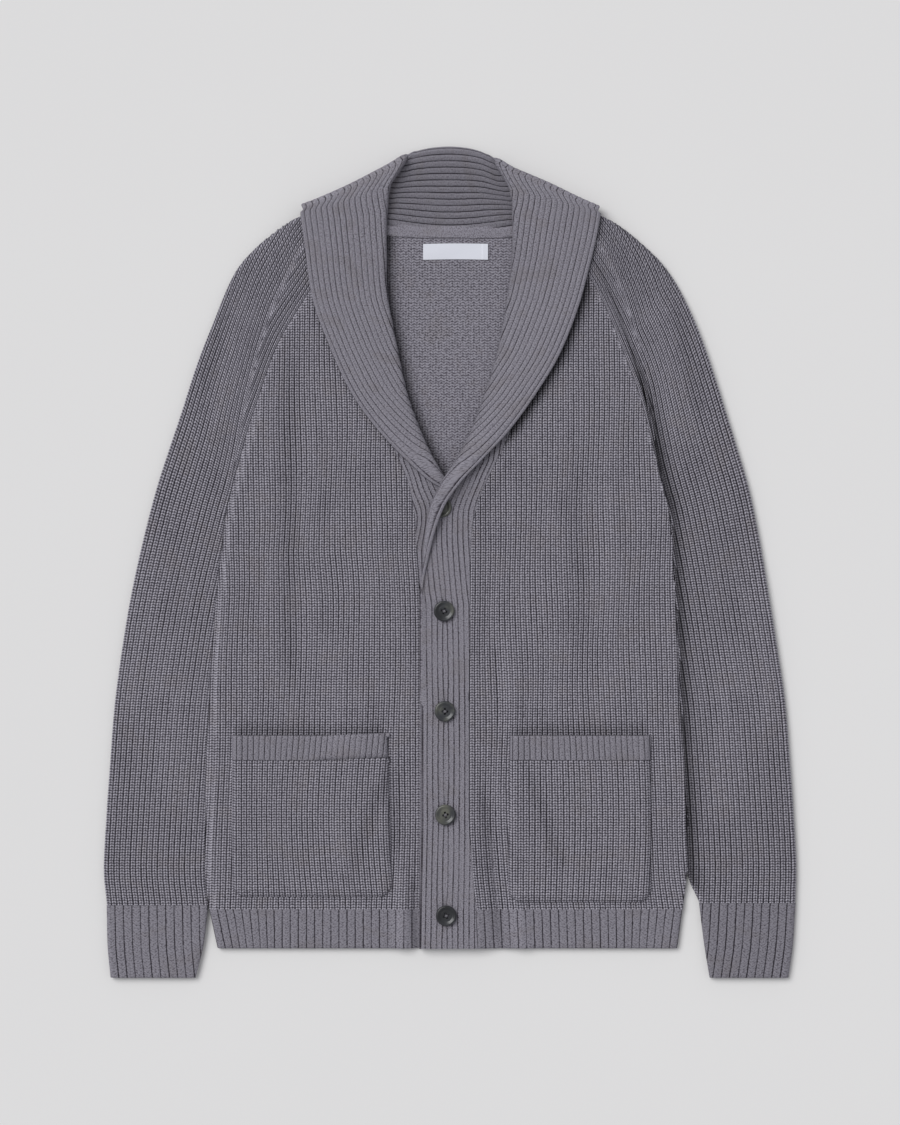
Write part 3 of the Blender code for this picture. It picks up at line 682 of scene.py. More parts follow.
def makeFront(name, side):
    how = front[side]
    wale = waleColumns(how["wales"])[None, :]
    y = rowsBetween(cloth["hemTop"], body["y"][-1], front["rowStep"])[:, None]
    wale, y = np.broadcast_arrays(wale, y)
    x, y, pitch, anchor, seam, edge = frontPlaces(side, wale, y)
    shown = np.abs(x - anchor) / pitch
    inside = (np.abs(x - seam) > 0.01) & (np.abs(x - edge) > 0.01)
    shown = np.where(inside, wale, shown)
    toSide = np.abs(x - edge)
    folded = edgeRound(toSide, front["sideRound"], front["sideDrop"][side])
    sewn = edgeRound(toSide, front["raglanRound"], front["raglanDip"])
    below = y < underarm
    z = frontTop(side, x, y) + relief(shown, front["waleDepth"])
    z = z + np.where(below, folded, sewn)
    z = z + edgeRound(np.abs(x - seam), front["seamRound"], front["seamDrop"])
    z = z + cloth["uneven"] * sway(x, y, 9.0)
    places = np.stack([x, y, z], axis=2)
    course = (y - cloth["hemTop"]) / front["course"]
    # shallow channels on the ridge, as a painted highlight, and at the raglan's marks; painted shade in
    # the folds, above the pockets and under the lapel
    ridge = bell(toSide - front["ridgeAt"], front["ridgeHalf"]) * front["ridge"][side]
    ridge = ridge * smooth((front["ridgeTop"] - y) / 30)
    marks = 0.6 + 0.4 * np.sin(y * math.tau / front["markStep"])
    marks = front["markShade"] * marks * smooth(1 - (toSide - 1.0) / front["markWidth"])
    stretchAndShade = np.where(below, ridge, np.maximum(ridge, marks))
    # painted shade in the folds' troughs, and painted light on their ridges, where the channels grow
    # shallow
    stretchAndShade = stretchAndShade + front["foldShade"] * foldHeight(x, y)
    # painted shade in a band just above each pocket's mouth
    pocketLeft, pocketRight = pocketSides(side, np.full_like(y, pockets["top"]))
    beside = smooth(np.minimum(x - pocketLeft, pocketRight - x) / front["pocketShadeFade"])
    stretchAndShade = stretchAndShade - front["pocketMouthShade"] * beside * bell(y - pockets["top"] - 3, front["pocketShadeFade"])
    if side == "L":
        # painted shadow of the lapel's edge on the left front
        past = np.maximum(x - np.interp(y, stripLeft["edgeY"][6:], stripLeft["edgeX"][6:]), 0)
        stretchAndShade = stretchAndShade - front["lapelShade"] * bell(past, front["underLapel"]) * smooth((y - 60) / 30)
    if side == "R":
        places, shown, course, stretchAndShade = (part[:, ::-1] for part in (places, shown, course, stretchAndShade))
    return knitShell(name, places, shown, course, [bodyKnit], stretchAndShade=stretchAndShade)


back = {
    "pitch": 5.15,
    "wales": 90,
    "rowStep": 6.0,
    "depth": 0.35,
    "neckX": (-89, -70, -42, 1, 44, 73, 93),
    "neckY": (320, 319, 315, 313, 315, 319, 320),
    "rollShade": 1.1,  # painted shadow beside the collar that stands over it
    "rollShadeWidth": 7.5,
}


def makeBack():
    y = rowsBetween(cloth["hemTop"], body["y"][-1], back["rowStep"])[:, None]
    wale = (np.arange(2 * back["wales"] + 1) / 2 - back["wales"] / 2)[None, :]
    wale, y = np.broadcast_arrays(wale, y)
    right = bodyAt("sideR", y) + 0.2
    left = bodyAt("sideL", y) - 0.2
    x = np.clip(wale * back["pitch"], right, left)
    shown = x / back["pitch"]
    neckTop = np.interp(x[-1], back["neckX"], back["neckY"])
    y = y.copy()
    y[-1] = neckTop
    y[-2] = np.minimum(y[-2], neckTop - 1.0)
    z = level(0, x, y) + cloth["wall"] / 2 + relief(shown, back["depth"]) * smooth((y + 100) / 60)
    z = z + edgeRound(np.minimum(np.abs(x - right), np.abs(left - x)), 3.0, 0.5)
    # painted shadow of the collar's roll, which stands over the back
    past = np.abs(x - np.interp(y, stripRight["rollY"][5:], stripRight["rollX"][5:]))
    stretchAndShade = -back["rollShade"] * bell(past, back["rollShadeWidth"])
    places = np.stack([x, y, z], axis=2)
    course = (y - cloth["hemTop"]) / front["course"]
    return knitShell("backPanel", places, shown, course, [insideKnit, bodyKnit], 2.1, stretchAndShade=stretchAndShade)


sleeve = {
    "pitch": 5.15,
    "wales": 22,  # on each layer
    "depth": 1.15,
    "rowStep": 5.2,
    "course": 2.55,
    "innerRound": 4.5,
    "innerDrop": 1.5,
    "lowest": 2.6,
    # painted shade over each sleeve, the left one darker
    "shade": {"R": -0.07, "L": -0.12},
}


# The wales beside the raglan seam run along it. The others end on them, in a line of fine marks.
raglan = {
    "wales": 8,
    "pitch": 5.0,
    "y": (70.0, 126.0, 160.0, 198.0, 230.0, 252.0, 320.0),
    "width": (0.0, 8.0, 14.0, 21.0, 31.0, 39.0, 40.0),
    "seamShare": 0.48,  # the seam itself lies this far across the band
    "outerWales": 13.1,  # from the marks out to the fold, where the sleeve is widest
    "seamDip": {"R": 0.3, "L": 1.3},
    "troughDip": {"R": 0.3, "L": 0.8},
    "gap": {"R": 0.0, "L": 1.0},  # the left sleeve drops beside the front that lies over it, with painted shade in the gap
    "gapWidth": 9.5,
    "gapDepth": 3.0,
    "gapTop": 205.0,
    "gapLow": -322.0,
    # painted shade along the raglan seam, on the left sleeve only
    "seamShade": {"R": 0.0, "L": 0.45},
    "markRidge": {"R": 1.1, "L": 0.2},
}


def tubePlaces(seam, outer, wale, pitch, depth, innerShare, roundBy, band=0.0, bandFrom=1000, cap=None):
    # a wall folded over at its outer edge; wale is 0 at the fold, above 0 on the upper layer. On the
    # cap of a sleeve the wales run on over the fold.
    run = seam - outer
    width = np.hypot(run[..., 0], run[..., 1])
    inward = run / width[..., None]
    radius = cloth["sleeveFold"]
    half = cloth["wall"] / 2
    full = width - half + radius * (math.pi / 2 - 1)
    onBand = wale > bandFrom
    toRaglan = np.minimum(np.maximum(bandFrom + raglan["wales"] - wale, 0) * raglan["pitch"], band)
    over = 0.0
    if cap is not None:
        over = cap * np.maximum(raglan["outerWales"] - (full - band) / pitch, 0)
    fromFold = np.where(onBand, 1.0, wale - over)
    length = np.minimum(np.abs(fromFold) * pitch, full - band * (fromFold > 0))
    length = np.where(onBand, full - toRaglan, length)
    side = np.sign(fromFold)
    turn = np.clip(length / radius, 0, math.pi / 2)
    flatPart = np.maximum(length - radius * math.pi / 2, 0)
    reach = half + radius - radius * np.cos(turn) + flatPart
    up = radius * np.sin(turn) * side
    normalOut = np.cos(turn)
    normalUp = np.sin(turn) * side
    toSeam = width - reach
    inner = edgeRound(toSeam, roundBy, sleeve["innerDrop"]) * innerShare
    shown = np.where(onBand, toRaglan / raglan["pitch"] + 100, side * length / pitch + over)
    nearFold = smooth(1 - length / 12) * (0.0 if cap is None else cap)
    rise = half + relief(shown, depth) * (1 - 0.75 * nearFold)
    outX = outer[..., 0] + inward[..., 0] * (reach - normalOut * rise)
    outY = outer[..., 1] + inward[..., 1] * (reach - normalOut * rise)
    z = half + radius + up + normalUp * rise + inner * side
    return outX, outY, z, shown, toSeam, side > 0


def makeSleeve(name, side):
    courses = body["y"]
    rows = rowsBetween(0, len(courses) - 1, 0.105)
    knots = np.arange(len(courses), dtype=float)
    seamX = body["side" + side].copy()
    seamY = body["y"].copy()
    seamX[0], seamY[0] = wrists[side]
    out = -1 if side == "R" else 1
    seam = np.stack([curveAt(knots, seamX, rows) + out * 0.2, curveAt(knots, seamY, rows)], axis=1)
    outer = np.stack(
        [
            curveAt(knots, sleeveEdge["out" + side + "x"], rows),
            curveAt(knots, sleeveEdge["out" + side + "y"], rows),
        ],
        axis=1,
    )
    upper = waleColumns(sleeve["wales"] + raglan["wales"])
    wale = np.concatenate([-waleColumns(sleeve["wales"], (0, 0.5))[:0:-1], upper])
    shape = (len(rows), len(wale))
    waleGrid = np.broadcast_to(wale[None, :], shape)
    seamGrid = np.broadcast_to(seam[:, None, :], (*shape, 2))
    outerGrid = np.broadcast_to(outer[:, None, :], (*shape, 2))
    below = 1 - smooth((seam[:, 1] - underarm + 10) / 25)[:, None]
    band = np.interp(seam[:, 1], raglan["y"], raglan["width"])[:, None]
    cap = smooth((seam[:, 1] - 110) / 60)[:, None]
    x, y, z, shown, toSeam, above = tubePlaces(
        seamGrid, outerGrid, waleGrid, sleeve["pitch"], sleeve["depth"], below, sleeve["innerRound"],
        band, sleeve["wales"], cap,
    )
    seamAt = band * raglan["seamShare"]
    wide = smooth(band / 12)
    lower = smooth((band - 4) / 10) * smooth((32 - band) / 10)
    crease = raglan["seamDip"][side] * bell(toSeam - seamAt, 2.2) * wide
    crease = crease + raglan["troughDip"][side] * bell(toSeam - seamAt, 7.0) * lower
    seamY = seam[:, 1:2]
    gapHalf = np.where(toSeam < seamAt, 2.2, raglan["gapWidth"])
    gap = bell(toSeam - seamAt, gapHalf) * smooth((raglan["gapTop"] - seamY) / 50)
    gap = gap * raglan["gap"][side] * smooth((seamY - raglan["gapLow"]) / 30)
    gap = np.where(above, gap, 0)
    z = z - np.where(above, crease, 0) - raglan["gapDepth"] * gap
    # shallow channels at the marks and along the seam; painted shade in the gap, along the left raglan
    # seam and over each sleeve
    marks = 0.6 + 0.4 * np.sin(seamY * math.tau / front["markStep"])
    onMarks = bell(toSeam - band, 3.0) * wide
    stretchAndShade = np.where(above, front["markShade"] * marks * onMarks, 0)
    stretchAndShade = stretchAndShade + np.where(above, 0.5 * smooth(1 - (toSeam - 1) / front["markWidth"]), 0)
    # painted shade: the gap darkened, and each sleeve a little darker
    stretchAndShade = stretchAndShade * (1 - gap) - 1.2 * gap + sleeve["shade"][side]
    line = raglan["seamShade"][side] * wide * bell(toSeam - seamAt, 1.6)
    stretchAndShade = stretchAndShade + np.where(above, front["foldShade"] * foldHeight(x, y) - line, 0)
    z = z + np.where(above, raglan["markRidge"][side] * onMarks, 0)
    lies = foldHeight(x, y) + cloth["uneven"] * sway(x, y, 5.0)
    z = z + raised(x, y) + np.where(above, lies, 0)
    z = z + np.where(above, edgeRound(toSeam, 3.0, 0.8) * (1 - below), 0)
    z = np.where(above, np.maximum(z, sleeve["lowest"]), z)
    length = np.concatenate([[0], np.cumsum(np.hypot(*np.diff((seam + outer) / 2, axis=0).T))])
    course = np.broadcast_to(length[:, None], shape) / sleeve["course"]
    places = np.stack([x, y, z], axis=2)
    if side == "L":
        places, shown, course, stretchAndShade = (part[:, ::-1] for part in (places, shown, course, stretchAndShade))
    return knitShell(name, places, shown, course, [bodyKnit], 2.0, stretchAndShade=stretchAndShade)


cuff = {
    "pitch": 8.0,
    "wales": 12,
    "depth": 0.25,
    "course": 2.6,
    "lowRound": 2.0,
    "lowDrop": 0.9,
    "shade": {"R": -0.16, "L": -0.3},
}


def makeCuff(name, side):
    knots = np.arange(3.0)
    rows = rowsBetween(0, 2, 0.1, (1.96, 1.985, 0.02))
    seam = np.stack([curveAt(knots, cuffs[f"in{side}{axis}"], rows) for axis in "xy"], axis=1)
    outer = np.stack([curveAt(knots, cuffs[f"out{side}{axis}"], rows) for axis in "xy"], axis=1)
    wale = waleColumns(cuff["wales"], broad)
    wale = np.concatenate([-wale[:0:-1], wale])
    shape = (len(rows), len(wale))
    waleGrid = np.broadcast_to(wale[None, :], shape)
    seamGrid = np.broadcast_to(seam[:, None, :], (*shape, 2))
    outerGrid = np.broadcast_to(outer[:, None, :], (*shape, 2))
    x, y, z, shown = tubePlaces(
        seamGrid, outerGrid, waleGrid, cuff["pitch"], cuff["depth"], 1.0, sleeve["innerRound"]
    )[:4]
    toEnd = np.broadcast_to((outer[:, 1] - outer[-1, 1])[:, None], shape)
    z = z + np.sign(waleGrid) * edgeRound(toEnd, cuff["lowRound"], cuff["lowDrop"])
    course = (cloth["hemTop"] - y) / cuff["course"]
    places = np.stack([x, y, z], axis=2)
    # painted shade: each cuff darker, the left one more
    stretchAndShade = np.full(shape, cuff["shade"][side])
    if side == "R":
        places, shown, course = places[:, ::-1], shown[:, ::-1], course[:, ::-1]
    return knitShell(name, places, shown, course, [ribKnit], 2.0, stretchAndShade=stretchAndShade)


hem = {
    "pitch": 7.8,
    "depth": 0.25,
    "course": 2.6,
    "lowRound": 2.2,
    "lean": 75.0,  # the ribs lean with the side only this far from it
    "shade": -0.17,
}


def makeHem(name, side, thickness):
    # side is R or L for a front, and B for the back
    ends = {
        "R": ((body["stripR"][0] + 0.2, body["stripR"][0] + 0.2), (body["sideR"][0], cloth["hemRight"])),
        "L": ((body["stripL"][0] - 0.2, body["stripL"][0] + 1.8), (body["sideL"][0], cloth["hemLeft"])),
        "B": ((body["sideL"][0], cloth["hemLeft"]), (body["sideR"][0], cloth["hemRight"])),
    }[side]
    count = round(abs(ends[0][0] - ends[1][0]) / hem["pitch"])
    wale = waleColumns(count, broad if side != "B" else narrow)[None, :]
    y = rowsBetween(cloth["hemLow"], cloth["hemTop"], 4.0, (-365.5, -364.6, -363.6))[:, None]
    wale, y = np.broadcast_arrays(wale, y)
    t = (y - cloth["hemLow"]) / (cloth["hemTop"] - cloth["hemLow"])
    start = ends[0][1] + (ends[0][0] - ends[0][1]) * t
    stop = ends[1][1] + (ends[1][0] - ends[1][1]) * t
    topX = ends[0][0] + (ends[1][0] - ends[0][0]) * wale / count
    fromSide = (1 - wale / count) * abs(ends[0][0] - ends[1][0])
    x = topX + (start - ends[0][0]) * (1 - wale / count)
    x = x + (stop - ends[1][0]) * smooth(1 - fromSide / hem["lean"])
    if side == "B":
        z = level(0, x, y) + cloth["wall"] / 2
    else:
        z = frontTop(side, x, y)
    z = z + relief(wale, hem["depth"] * (0.5 if side == "B" else 1), 2.2)
    z = z + edgeRound(np.abs(x - stop), front["sideRound"], 1.5 if side != "B" else 0.4)
    z = z + edgeRound(y - cloth["hemLow"], hem["lowRound"], 1.1 if side != "B" else 0.4)
    if side != "B":
        z = z + edgeRound(np.abs(x - start), 2.0, 0.5)
    places = np.stack([x, y, z], axis=2)
    course = (cloth["hemTop"] - y) / hem["course"]
    # painted shade over the ribs, and the folds' painted shade and light
    stretchAndShade = hem["shade"] + front["foldShade"] * foldHeight(x, y)
    if side != "L":
        places, wale, course, stretchAndShade = (part[:, ::-1] for part in (places, wale, course, stretchAndShade))
    return knitShell(name, places, wale, course, [ribKnit], thickness, stretchAndShade=stretchAndShade)


def unit(vectors):
    return vectors / np.maximum(np.linalg.norm(vectors, axis=-1, keepdims=True), 1e-9)


def outwardFrom(low, high):
    run = unit(high - low)
    return np.array([-abs(run[1]) * math.copysign(1, run[0]), abs(run[0]), 0.0])


def turnedOver(out, degrees):
    angle = math.radians(degrees)
    return out * math.sin(angle) + np.array([0, 0, math.cos(angle)])


def frontStations(table, order):
    rise = cloth["wall"] / 2
    up = np.array([0, 0, 1.0])
    made = []
    for row in order:
        spots = {}
        for spot in ("seam", "roll", "edge"):
            x, y, layers = (table[spot + part][row] for part in ("X", "Y", "Up"))
            spots[spot] = np.array([x, y, rise + layers * cloth["layer"] + float(raised(x, y))])
        radius = cloth["layer"] / 2 * table["open"][row]
        pitch = table["pitch"][row]
        leaf = float(np.linalg.norm(spots["edge"] - spots["roll"])) - radius
        share = float(np.interp(table["rollY"][row], strip["plainY"], strip["plainShare"]))
        bead = min(max(leaf, 0.0), strip["bead"])
        made.append({
            **spots, "ways": [up] * 3, "lie": 1.0, "radius": radius, "pitch": pitch,
            "leafRibs": bead / strip["bead"] + share * max(leaf - bead, 0.0) / pitch,
        })
    return made


def shoulderStations(row, turns):
    spots = {}
    for spot in ("seam", "roll", "edge"):
        spots[spot] = np.array([shoulders[spot + "X"][row], shoulders[spot + "Y"][row], 0.0])
    standOut = outwardFrom(spots["seam"], spots["roll"])
    leafOut = outwardFrom(spots["edge"], spots["roll"])
    rollOut = unit(standOut + leafOut)
    fold = strip["neckFold"]
    leafRadius = fold * strip["leafFullness"]
    inset = leafRadius + cloth["wall"] / 2
    middle = np.array([0, 0, inset])
    made = []
    for degrees in turns:
        ways = [turnedOver(out, degrees) for out in (standOut, rollOut, leafOut)]
        slide = max(degrees - 75, 0) / 75  # towards the back of the neck, along the outline
        along = np.array([-math.copysign(1, shoulders["rollX"][row]), 0.25, 0]) * strip["slide"] * slide
        made.append({
            "seam": spots["seam"] + middle - standOut * inset + ways[0] * fold,
            "roll": spots["roll"] + middle - rollOut * (inset - 4 * slide) + ways[1] * fold + along,
            "edge": spots["edge"] + middle - leafOut * inset + ways[2] * leafRadius,
            "ways": ways, "lie": 0.0, "radius": fold, "pitch": strip["neckPitch"],
            "leafRibs": strip["neckRibs"],
        })
    return made


def neckStations():
    low = cloth["wall"] / 2
    high = low + strip["neckFold"] * 2
    down = np.array([0, 0, -1.0])
    made = []
    for seamX, seamY, rollX, rollY, edgeX, edgeY in zip(*backNeck.values()):
        made.append({
            "seam": np.array([seamX, seamY, high]),
            "roll": np.array([rollX, rollY, high]),
            "edge": np.array([edgeX, edgeY, low]),
            "ways": [down] * 3, "lie": 1.0, "radius": strip["neckFold"], "pitch": strip["neckPitch"],
            "leafRibs": strip["neckRibs"],
        })
    return made


def throughPoints(points, places):
    # a round curve through the stations, one coordinate at a time
    return np.stack([curveAt(stationKnots, column, places) for column in np.array(points).T], axis=1)


rightRows, leftRows = len(stripRight["seamX"]), len(stripLeft["seamX"])
stations = frontStations(stripRight, range(rightRows))
stations += shoulderStations(0, strip["turns"])
stations += neckStations()
stations += shoulderStations(1, strip["turns"][::-1])
stations += frontStations(stripLeft, range(leftRows)[::-1])
stationGaps = []
for before, after in zip(stations, stations[1:]):
    moves = [np.linalg.norm(after[spot] - before[spot]) for spot in ("seam", "roll", "edge")]
    stationGaps.append(max(sum(moves) / 3, 1.0))
stationKnots = np.concatenate([[0], np.cumsum(stationGaps)])
underBandEnd = 6  # the stations at which the bands end and the collar starts
topBandStart = len(stations) - 6


def stripShell(name, first, last, material, extra=None):
    places = []
    for low, high in zip(stationKnots[first:last], stationKnots[first + 1 : last + 1]):
        steps = max(3, round((high - low) / strip["rowStep"]))
        places += list(np.linspace(low, high, steps, endpoint=False))
    places = np.array([*places, stationKnots[last]])
    spots = {}
    for spot in ("seam", "roll", "edge"):
        spots[spot] = throughPoints([s[spot] for s in stations], places)
    ways = [unit(throughPoints([s["ways"][i] for s in stations], places)) for i in range(3)]
    lie, radius, pitch, leafRibs = (
        np.interp(places, stationKnots, [s[key] for s in stations])[:, None]
        for key in ("lie", "radius", "pitch", "leafRibs")
    )
    flat = spots["roll"] - spots["seam"]
    flat[:, 2] = 0
    flat = unit(flat)
    base = spots["roll"] - flat * (radius + cloth["wall"] / 2) * lie
    leafStart = base + ways[1] * radius * 2
    leafRun = spots["edge"] - leafStart
    leafLength = np.linalg.norm(leafRun, axis=1, keepdims=True)
    bend = math.pi * radius
    standRun = spots["seam"] - base
    standLength = np.linalg.norm(standRun, axis=1, keepdims=True)
    total = leafLength + bend + standLength
    count = int(math.ceil(float((leafRibs + (bend + standLength) / pitch).max())))
    wale = waleColumns(count, narrow)[None, :]
    onFold = wale > leafRibs
    beadWide = np.minimum(strip["bead"], leafLength)
    beadRibs = np.minimum(beadWide / strip["bead"], leafRibs)
    perRib = (leafLength - beadWide) / np.maximum(leafRibs - beadRibs, 0.01)
    reach = np.where(wale > beadRibs, beadWide + (wale - beadRibs) * perRib, wale * strip["bead"])
    reach = np.where(onFold, leafLength + (wale - leafRibs) * pitch, np.minimum(reach, leafLength))
    reach = np.minimum(reach, total)
    leafShare = np.clip(reach / leafLength, 0, 1)[..., None]
    turn = np.clip((reach - leafLength) / bend, 0, 1) * math.pi
    standShare = np.clip((reach - leafLength - bend) / standLength, 0, 1)[..., None]
    onLeaf = (reach < leafLength)[..., None]
    onStand = (reach > leafLength + bend)[..., None]
    angle = (math.pi - turn)[..., None]
    way, across = ways[1][:, None, :], flat[:, None, :]
    size = radius[..., None]
    rolled = base[:, None] + way * size * (1 - np.cos(angle)) + across * size * np.sin(angle)
    leaf = spots["edge"][:, None] + (leafStart - spots["edge"])[:, None] * leafShare
    stand = base[:, None] + standRun[:, None] * standShare
    middle = np.where(onLeaf, leaf, np.where(onStand, stand, rolled))
    leafWay = unit(ways[2][:, None] * (1 - leafShare) + way * leafShare)
    roundWay = -way * np.cos(angle) + across * np.sin(angle)
    standWay = -unit(way * (1 - standShare) + ways[0][:, None] * standShare)
    normal = np.where(onLeaf, leafWay, np.where(onStand, standWay, roundWay))
    shown = np.where(onFold, leafRibs + (reach - leafLength) / pitch, wale)
    atNeck = smooth((ways[0][:, 2:3] * -1 - 0.5) / 0.4)
    toSeam = total - reach
    linked = smooth((strip["link"] - toSeam) / 1.5)
    depth = strip["ribDepth"] * (0.35 + 0.65 * lie + 1.2 * atNeck) * (1 - atNeck * linked)
    depth = depth * (strip["bandDepth"] + (1 - strip["bandDepth"]) * smooth(leafLength / 50))
    rise = cloth["wall"] / 2 + relief(shown, depth, 2.4) + edgeRound(reach, 1.6, 0.9)
    beadDeep = strip["beadDepth"] * smooth(leafLength / 12) * (1 - 0.75 * smooth((leafLength - 40) / 30))
    rise = rise - beadDeep * bell(wale - 1, 0.1)
    rise = rise - atNeck * 0.8 * smooth(1 - toSeam / strip["link"])
    rise = rise - atNeck * 0.9 * bell(toSeam - strip["link"], 1.0)
    linked = linked * smooth(toSeam / 1.8)
    upNeck = smooth(1 - (toSeam - 70) / 30)
    # shallow channels on the linked edge; painted shade on the stand
    stretchAndShade = atNeck * (strip["linkShade"] * linked - strip["standShade"] * upNeck)
    stretchAndShade = stretchAndShade * np.where(onStand[..., 0], 1, 0)
    # painted shade along the roll
    atRoll = bell(reach - leafLength - bend / 2, 4) * smooth(leafLength / 30)
    stretchAndShade = stretchAndShade - strip["rollShade"] * atRoll
    crown = np.sin(math.pi * leafShare[..., 0]) * smooth(leafLength / 40) * lie
    crown = crown * np.clip(ways[1][:, 2:3], 0, 1)
    rise = rise + strip["crown"] * crown * np.where(onLeaf[..., 0], 1, 0)
    points = middle + normal * rise[..., None]
    if extra:
        points = extra(points)
    course = np.broadcast_to(places[:, None] / strip["course"], shown.shape)
    stretchAndShade = np.broadcast_to(stretchAndShade, shown.shape)
    return knitShell(name, points, shown, course, [material], stretchAndShade=stretchAndShade)


buttons = columns("x y", [(-3.6, 52.5), (-5, -46), (-4.3, -141), (-3.8, -239), (-3, -334.5)])


def saggedTop(points):
    x, y = points[..., 0], points[..., 1]
    start = np.interp(np.abs(x), strip["sagFromX"], strip["sagFromY"])
    points[..., 1] -= curveAt(strip["sagX"], strip["sag"], x) * smooth((y - start) / 56)
    points[..., 2] = np.maximum(points[..., 2], cloth["ground"])  # it rests flat on the ground
    return points


pinch = {"holeDip": 1.0, "holeHalf": 2.2, "roundDip": 0.7, "roundReach": 11.0, "pull": 0.96}


def pinchedAtButtons(points):
    # the band dips along each buttonhole, and a little round the button
    x, y = points[..., 0], points[..., 1]
    dip = np.zeros_like(x)
    for buttonX, buttonY in zip(*buttons.values()):
        alongHole = np.exp(-(((y - buttonY - 2) / 15) ** 4))
        dip += pinch["holeDip"] * bell(x - buttonX, pinch["holeHalf"]) * alongHole
        reach = np.hypot(x - buttonX, y - buttonY)
        dip += pinch["roundDip"] * np.exp(-((reach / pinch["roundReach"]) ** 4))
        pull = pinch["pull"] * bell(x - buttonX, 12) * bell(y - buttonY, 26)
        points[..., 0] -= pull * np.tanh((x - buttonX) / 5)
    points[..., 2] -= dip
    points[..., 2] += 0.3 * sway(x * 3, y, 2.0)
    return points


def makePocket(name, side, isRib):
    size = pockets[side]
    ribLow = pockets["top"] - pockets["rib"]
    low, high = (ribLow, pockets["top"]) if isRib else (size["low"], ribLow + 0.2)
    pitch = pockets["ribPitch"] if isRib else pockets["pitch"]
    if isRib:
        ends = (high - 0.5, high - 1.2, high - 2.2)
    else:
        ends = tuple(low + step for step in (0.4, 1, 2, 3.2, 5, 7, 9))
    y = rowsBetween(low, high, 4.0, ends)[:, None]
    width = size["rightTop"] - size["leftTop"] + 8
    count = math.ceil(width / pitch)
    wale = waleColumns(count, narrow)[None, :]
    wale, y = np.broadcast_arrays(wale, y)
    top = pockets["top"] + pockets["lift"][side] * smooth((wale / count - 0.5) * 2)
    y = y + (top - pockets["top"]) * smooth((y - ribLow + 60) / 60)
    left, right = pocketSides(side, y)
    start = min(size["leftTop"], size["left"]) - 1.0
    down = np.clip((pockets["top"] - y) / (pockets["top"] - size["low"]), 0, 1)
    lean = pockets["lean"][side] * np.sin(math.pi * down) * smooth(wale / count * 2)
    x = np.clip(start + wale * pitch + lean, left, right)
    shown = (x - start - lean) / pitch
    toEdge = np.minimum(x - left, right - x)
    toLow = y - size["low"]
    z = frontTop(side, x, y) + cloth["layer"] + pockets["clear"]
    z = z + relief(shown, 0.9 if isRib else 1.05, 2.0 if isRib else 1.6)
    edge = np.minimum(toEdge, toLow)
    z = z + edgeRound(edge, pockets["edgeRound"], pockets["edgeDrop"])
    z = z - 0.5 * bell(edge - pockets["seamAt"], 1.0) + 0.8 * bell(edge - pockets["swellAt"], 3.0)
    z = z + 0.35 * sway(x * 1.6, y * 1.6, 7.0)
    if isRib:
        z = z + edgeRound(top - y, 2.4, 1.6) + 0.5
    places = np.stack([x, y, z], axis=2)
    course = (y - size["low"]) / (2.6 if isRib else front["course"])
    # painted shade and light on the folds, and painted shade over the pocket's rib
    stretchAndShade = front["foldShade"] * foldHeight(x, y) - (pockets["ribShade"] if isRib else 0.0)
    return knitShell(name, places, shown, course, [ribKnit if isRib else bodyKnit], 2.4, stretchAndShade=stretchAndShade)


def finish(piece, slotName, *nodes, flat=None, held="laid", area=None, restsOn=()):
    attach(piece, "root")
    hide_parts(*nodes)


finish(makeBack(), "knit", "back", flat=(0.456, 0.65), area=0.262)
finish(
    makeFront("frontRight", "R"), "knit", "front_right", flat=(0.205, 0.649), area=0.108, restsOn=["back"]
)
finish(
    makeFront("frontLeft", "L"), "knit", "front_left", flat=(0.206, 0.649), area=0.107, restsOn=["back"]
)
print("back and fronts knitted")
finish(
    makeSleeve("sleeveRight", "R"), "knit", "sleeve_right", flat=(0.2, 0.7), held="folded", area=0.113
)
finish(
    makeSleeve("sleeveLeft", "L"), "knit", "sleeve_left", flat=(0.2, 0.7), held="folded", area=0.12
)
finish(
    makeCuff("cuffRight", "R"), "rib", "cuff_right", flat=(0.193, 0.069), held="folded", area=0.0128
)
finish(
    makeCuff("cuffLeft", "L"), "rib", "cuff_left", flat=(0.184, 0.071), held="folded", area=0.0123
)
print("sleeves and cuffs knitted")
finish(makeHem("hemBack", "B", 1.6), "rib", "hem_rib_back", flat=(0.449, 0.037))
finish(
    makeHem("hemRight", "R", 2.2), "rib", "hem_rib_right", flat=(0.2, 0.037), restsOn=["hem_rib_back"]
)
finish(
    makeHem("hemLeft", "L", 2.2), "rib", "hem_rib_left", flat=(0.196, 0.037), restsOn=["hem_rib_back"]
)
finish(
    stripShell("bandRight", 0, underBandEnd, ribKnit),
    "rib", "button_band_right", flat=(0.047, 0.437), restsOn=["back"],
)
finish(
    stripShell("bandLeft", topBandStart, len(stations) - 1, ribKnit, extra=pinchedAtButtons),
    "rib", "button_band_left", flat=(0.052, 0.376), restsOn=["button_band_right"],
)
finish(
    stripShell("collar", underBandEnd, topBandStart, ribKnit, saggedTop),
    "rib", "shawl_collar", flat=(0.2, 1.01), held="folded", area=0.098,
    restsOn=["front_right", "front_left"],
)
print("bands and collar knitted")
for side, word in (("R", "right"), ("L", "left")):
    panel = makePocket("pocket" + word.capitalize(), side, False)
    finish(panel, "knit", f"pocket_{word}", flat=(0.15, 0.132), restsOn=[f"front_{word}"])
    top = makePocket("pocketTop" + word.capitalize(), side, True)
    finish(top, "rib", f"pocket_rib_{word}", flat=(0.147, 0.024), restsOn=[f"front_{word}"])
print("pockets knitted")

